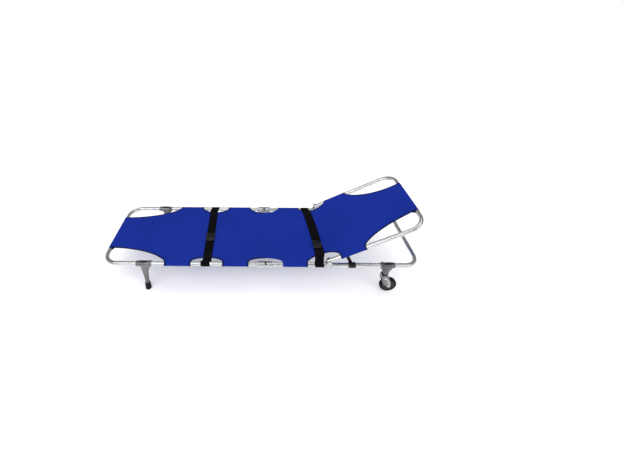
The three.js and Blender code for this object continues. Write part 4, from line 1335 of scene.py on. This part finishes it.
for piece in sheet_piece("sheet_foot_half", -END_X, FOLD_X, "sheet_foot"):
    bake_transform(piece)
seat_pieces = sheet_piece("sheet_seat_panel", FOLD_X, 0.200, "sheet_seat")
for piece in seat_pieces:
    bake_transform(piece)
for piece in sheet_piece("sheet_back_panel", 0.200, S_END, "sheet_back"):
    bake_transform(piece)


# ---------------------------------------------------------------- belts
BELT_HALF = 0.0270
BELT_THICK = 0.0020
ACROSS = np.array([-1.0, -0.97, -0.86, -0.5, 0.0, 0.5, 0.86, 0.97, 1.0])
SWELL = np.array([0.15, 0.75, 1.0, 1.0, 1.0, 1.0, 1.0, 0.75, 0.15])
LOOP_R = TUBE_R + 0.0013


def under_belt(x, y):
    """Height a belt rests at: the sheet, or a straight run from its edge up to the rail."""
    edge = float(np.interp(x, px, REACH[1 if y > 0 else -1])) - 0.004
    if abs(y) <= edge or edge > RAIL_Y - 0.012:
        return surface_at(x, y)
    share = min((abs(y) - edge) / (RAIL_Y - 0.004 - edge), 1.0)
    rail_top = RAIL_Z + LOOP_R
    return surface_at(x, math.copysign(edge, y)) * (1 - share) + rail_top * share


def stiff_height(x, y):
    """The resting height smoothed over the width of the crease, as stiff webbing bridges it."""
    spread = (-0.012, -0.006, 0.0, 0.006, 0.012)
    return sum(under_belt(x + d, y) for d in spread) / 5 + (0.0012 if x > CREASE_X - 0.03 else 0)


def belt_ring(shell_rings, uvs, points, normals, at):
    """One closed cross-section of webbing from its centre points and their normals."""
    up = [p + n * BELT_THICK / 2 * w for p, n, w in zip(points, normals, SWELL)]
    down = [p - n * BELT_THICK / 2 * w for p, n, w in zip(points, normals, SWELL)]
    shell_rings.append(up + down[::-1])
    uvs += [(at, a * BELT_HALF) for a in ACROSS] + [(at, a * BELT_HALF) for a in ACROSS[::-1]]


def lying(rings, uvs, ys, centre, half, raise_by):
    """Webbing lying on the sheet at the given stations across the bed."""
    at = 0.0
    for k, y in enumerate(ys):
        at += abs(y - ys[k - 1]) if k else 0
        x0, h = centre(y), half(y)
        xs = x0 + ACROSS * h
        z = [stiff_height(x, y) + raise_by for x in xs]
        points = [np.array([x, y, v]) for x, v in zip(xs, z)]
        slope = np.gradient(z, xs)
        normals = [np.array([-g, 0, 1]) / math.hypot(g, 1) for g in slope]
        belt_ring(rings, uvs, points, normals, at)
    return at


def belt_half(shell, side, centre, start, loop_x, tail_x, narrow):
    """Half a belt: out over the sheet, once round the rail, and back to be sewn to itself."""
    rings, uvs = [], []
    edge = side * (RAIL_Y - 0.005)

    def line(y):
        t = np.clip((abs(y) - 0.212) / 0.036, 0, 1)
        return centre(y) * (1 - t) + loop_x * t

    def half(y):
        t = np.clip((abs(y) - 0.196) / 0.030, 0, 1) * np.clip((0.254 - abs(y)) / 0.018, 0, 1)
        return BELT_HALF - narrow * t * t * (3 - 2 * t)

    reach = np.concatenate([np.linspace(start, side * 0.196, 18)[:-1],
                            np.linspace(side * 0.196, edge, 12)])
    at = lying(rings, uvs, reach, line, half, 0.0022)
    degrees = np.linspace(84, -128, 22)
    for k, deg in enumerate(degrees):
        a = math.radians(deg)
        x0 = loop_x + (tail_x - loop_x) * k / (len(degrees) - 1)
        normal = np.array([0, side * math.cos(a), math.sin(a)])
        middle = np.array([x0, side * RAIL_Y, RAIL_Z]) + normal * LOOP_R
        points = [middle + np.array([u * BELT_HALF, 0, 0]) for u in ACROSS]
        belt_ring(rings, uvs, points, [normal] * 9, at + LOOP_R * math.radians(84 - deg))
    last = middle
    sewn = side * 0.172
    for t in np.linspace(0.08, 1, 14):
        y = last[1] + (sewn - last[1]) * t
        x0 = tail_x + (centre(sewn) - tail_x) * min(t * 1.15, 1)
        rise = 1 - (1 - t) ** 2.2
        xs = x0 + ACROSS * BELT_HALF
        flat = [stiff_height(x, y) - (0.0006 if abs(y) > 0.206 else 0.0) for x in xs]
        z = [last[2] * (1 - rise) + (v + 0.0006 - 0.004 * (1 - t)) * rise for v in flat]
        points = [np.array([x, y, v]) for x, v in zip(xs, z)]
        normals = [np.array([0, 0, -1.0])] * 9
        belt_ring(rings, uvs, points, normals, at + 0.1 + t * 0.08)
    shell.loft(rings, False, 0, uvs)
    box_stitch(shell, centre, side)


def box_stitch(shell, centre, side):
    """A sewn box with a cross inside, through both layers of webbing."""
    y0, y1 = side * 0.176, side * 0.198
    x0, x1 = centre(y0) - 0.019, centre(y0) + 0.019
    lines = [((x0, y0), (x1, y0)), ((x1, y0), (x1, y1)), ((x1, y1), (x0, y1)),
             ((x0, y1), (x0, y0)), ((x0, y0), (x1, y1)), ((x1, y0), (x0, y1))]
    for a, b in lines:
        a, b = np.array(a), np.array(b)
        size = np.linalg.norm(b - a)
        for k in range(int(size / 0.0042)):
            q = a + (b - a) * (k + 0.5) * 0.0042 / size
            spot = np.array([*q, stiff_height(*q) + 0.0032])
            ahead = q + (b - a) / size * 0.002
            run = np.array([*ahead, stiff_height(*ahead) + 0.0032]) - spot
            stitch(shell, spot, run / np.linalg.norm(run), np.array([0, 0, 1.0]), 0.0032, 1)


def buckle_socket(x0, y0, z0):
    """The receiving half: a rounded body with a raised grip pad and four ridges across it."""
    shell = Shell()
    body = rounded([(x0 - 0.029, y0 - 0.032), (x0 + 0.029, y0 - 0.032), (x0 + 0.026, y0 - 0.002),
                    (x0 - 0.026, y0 - 0.002)], 0.005, 5)
    inner = rounded([(x0 - 0.0258, y0 - 0.0305), (x0 + 0.0258, y0 - 0.0305),
                     (x0 + 0.0232, y0 - 0.0035), (x0 - 0.0232, y0 - 0.0035)], 0.004, 5)
    rings = [[(x, y, z0 + 0.0008) for x, y in inner], [(x, y, z0 + 0.0022) for x, y in body],
             [(x, y, z0 + 0.0082) for x, y in body], [(x, y, z0 + 0.0100) for x, y in inner]]
    shell.loft(rings)
    grip = rounded([(x0 - 0.014, y0 - 0.024), (x0 + 0.014, y0 - 0.024), (x0 + 0.014, y0 - 0.010),
                    (x0 - 0.014, y0 - 0.010)], 0.004, 5)
    shell.loft([[(x, y, z0 + 0.0098) for x, y in grip],
                [(x0 + (x - x0) * 0.93, y0 - 0.017 + (y - y0 + 0.017) * 0.9, z0 + 0.0108)
                 for x, y in grip]])
    for k in range(4):
        yy = y0 - 0.0215 + k * 0.003
        shell.box((x0 - 0.010, x0 + 0.010), (yy, yy + 0.0012), (z0 + 0.0106, z0 + 0.0112))
    return shell


def buckle_tongue(x0, y0, z0):
    """The plug: shoulders, a guide bar, two sprung arms pressed into the socket's sides."""
    shell = Shell()
    for s in (-1, 1):
        arm = rounded([(x0 + s * 0.0262, y0 - 0.0015), (x0 + s * 0.0292, y0 - 0.0005),
                       (x0 + s * 0.0298, y0 + 0.0100), (x0 + s * 0.0240, y0 + 0.0110)], 0.002, 4)
        shell.loft([[(x, y, z) for x, y in arm] for z in (z0 + 0.0024, z0 + 0.0084)])
    base = rounded([(x0 - 0.0270, y0 + 0.0008), (x0 + 0.0270, y0 + 0.0008),
                    (x0 + 0.0285, y0 + 0.0105), (x0 - 0.0285, y0 + 0.0105)], 0.003, 4)
    inner = [(x0 + (x - x0) * 0.965, y0 + 0.0056 + (y - y0 - 0.0056) * 0.88) for x, y in base]
    shell.loft([[(x, y, z0 + 0.0014) for x, y in inner], [(x, y, z0 + 0.0026) for x, y in base],
                [(x, y, z0 + 0.0080) for x, y in base], [(x, y, z0 + 0.0092) for x, y in inner]])
    for s in (-1, 1):
        shell.box(sorted((x0 + s * 0.0250, x0 + s * 0.0285)), (y0 + 0.0095, y0 + 0.0315),
                  (z0 + 0.0030, z0 + 0.0072))
    for yy in (y0 + 0.0170, y0 + 0.0275):
        shell.box((x0 - 0.0280, x0 + 0.0280), (yy, yy + 0.0040), (z0 + 0.0032, z0 + 0.0074))
    return shell


def belt(index, body, centre, loops):
    """A strap from each rail, joined by a side-release buckle."""
    name = f"belt_{index}"
    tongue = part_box(name + "_buckle_tongue")
    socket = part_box(name + "_buckle_socket")
    y0 = (tongue[0].y + socket[1].y) / 2
    x0 = centre(y0)
    z0 = stiff_height(x0, y0) + 0.0006
    for side, start, node in ((-1, y0 - 0.020, "near"), (1, y0 + 0.018, "far")):
        shell = Shell()
        belt_half(shell, side, centre, start, *loops[node])
        made = shell.make(f"{name}_webbing_{node}", ["web", "web_thread"], sharp=60)
        settle(made, body, "webbing", f"{name}_strap_{node}")
    made = buckle_socket(x0, y0, z0).make(name + "_socket", ["gloss"], bevel=0.0005)
    settle(made, body, "black_plastic", name + "_buckle_socket")
    made = buckle_tongue(x0, y0, z0).make(name + "_tongue", ["gloss"], bevel=0.0005)
    settle(made, body, "black_plastic", name + "_buckle_tongue")


belt(1, "foot_frame", lambda y: -0.3260 - 0.027 * y,
     {"near": (-0.329, -0.322, 0.0085), "far": (-0.324, -0.338, 0.0)})
belt(2, "head_frame", lambda y: 0.3505 - 0.062 * y - 0.13 * y * y,
     {"near": (0.345, 0.352, 0.0020), "far": (0.322, 0.338, 0.0)})

# ---------------------------------------------------------------- floor, light and camera
def glowing_studio_floor():
    """A pale floor that glows as painted light: weakly under the stretcher, lifting its shadow, and
    more strongly further out, fading into the white background.
    """
    s = Shader("glowing_studio_floor")
    tone = s.ramp(s.noise(s.coords(), 1.2, 4.0), [(0.3, (0.84, 0.84, 0.845)),
                                                  (0.7, (0.88, 0.88, 0.88))])
    s.set("Base Color", tone)
    s.set("Roughness", 0.6)
    s.set("Specular IOR Level", 0.25)
    s.set("Normal", s.bump(s.noise(s.coords(), 60.0, 3.0), 0.04, 0.001))
    reach = s.node("VectorMath", 1, p_operation="LENGTH", i0=s.coords())
    # painted light: the floor glows white at strength 0.20 within 1.2 m of the middle, which lifts
    # the stretcher's shadow, rising to 0.8 at 5 m
    s.set("Emission Color", (1, 1, 1, 1))
    s.set("Emission Strength", s.span(reach, 0.20, 0.8, 1.2, 5.0))
    return s.mat


def area_light(name, place, aim, size, power):
    light = bpy.data.lights.new(name, "AREA")
    light.shape = "RECTANGLE"
    light.size, light.size_y = size
    light.energy = power
    obj = bpy.data.objects.new(name, light)
    bpy.context.scene.collection.objects.link(obj)
    obj.location = place
    obj.rotation_euler = (Vector(aim) - Vector(place)).to_track_quat("-Z", "Y").to_euler()


def camera():
    """The viewing angle, perspective and framing of the reference view."""
    yaw, pitch, roll = -0.006718, 0.446359, 0.002863
    ahead = Vector((math.sin(yaw) * math.cos(pitch), math.cos(yaw) * math.cos(pitch),
                    -math.sin(pitch)))
    level = Vector((math.cos(yaw), -math.sin(yaw), 0))
    above = level.cross(ahead)
    right = level * math.cos(roll) + above * math.sin(roll)
    up = above * math.cos(roll) - level * math.sin(roll)
    data = bpy.data.cameras.new("reference_view")
    data.sensor_width = 36.0
    data.lens = 18.2966
    obj = bpy.data.objects.new("reference_view", data)
    bpy.context.scene.collection.objects.link(obj)
    place = Vector((-0.0248, -1.6178, 1.7045))
    obj.matrix_world = (Matrix.Translation(place)
                        @ Matrix((right, up, -ahead)).transposed().to_4x4())
    # the lens is shifted only at this camera height, so any other view is centred
    for channel, shift in (("shift_x", 0.09107), ("shift_y", -0.15170)):
        curve = data.driver_add(channel)
        curve.driver.type = "SUM"
        height = curve.driver.variables.new()
        height.name = "height"
        height.type = "SINGLE_PROP"
        height.targets[0].id = obj
        height.targets[0].data_path = "location[2]"
        for mod in list(curve.modifiers):
            curve.modifiers.remove(mod)
        for offset, value in ((-0.040, 0.0), (-0.015, shift), (0.015, shift), (0.040, 0.0)):
            key = curve.keyframe_points.insert(place.z + offset, value)
            key.interpolation = "LINEAR"
    bpy.context.scene.camera = obj


MAT["floor"] = glowing_studio_floor()
ground = Shell()
ground.put([(-30, -30, 0), (30, -30, 0), (30, 30, 0), (-30, 30, 0)], [[0, 1, 2, 3]])
ground.make("glowing_studio_floor", ["floor"])
area_light("key_softbox", (-1.5, -2.6, 3.0), (0, 0, 0.2), (3.0, 1.8), 52)
area_light("fill_softbox", (2.6, -2.0, 2.2), (0.2, 0, 0.2), (2.2, 1.6), 20)
area_light("top_softbox", (0.2, 0.5, 3.6), (0.1, 0, 0.2), (4.2, 1.2), 34)
world = bpy.data.worlds.new("studio")
world.use_nodes = True
tree = world.node_tree
rays = tree.nodes.new("ShaderNodeLightPath")
soft = tree.nodes.new("ShaderNodeMapRange")
soft.inputs["To Min"].default_value, soft.inputs["To Max"].default_value = 0.90, 0.30
tree.links.new(rays.outputs["Is Glossy Ray"], soft.inputs["Value"])
seen = tree.nodes.new("ShaderNodeMath")
seen.operation = "MAXIMUM"
tree.links.new(rays.outputs["Is Camera Ray"], seen.inputs[0])
tree.links.new(soft.outputs["Result"], seen.inputs[1])
tree.nodes["Background"].inputs["Color"].default_value = (1, 1, 1, 1)
tree.links.new(seen.outputs["Value"], tree.nodes["Background"].inputs["Strength"])
bpy.context.scene.world = world
bpy.context.scene.view_settings.view_transform = "Standard"
camera()
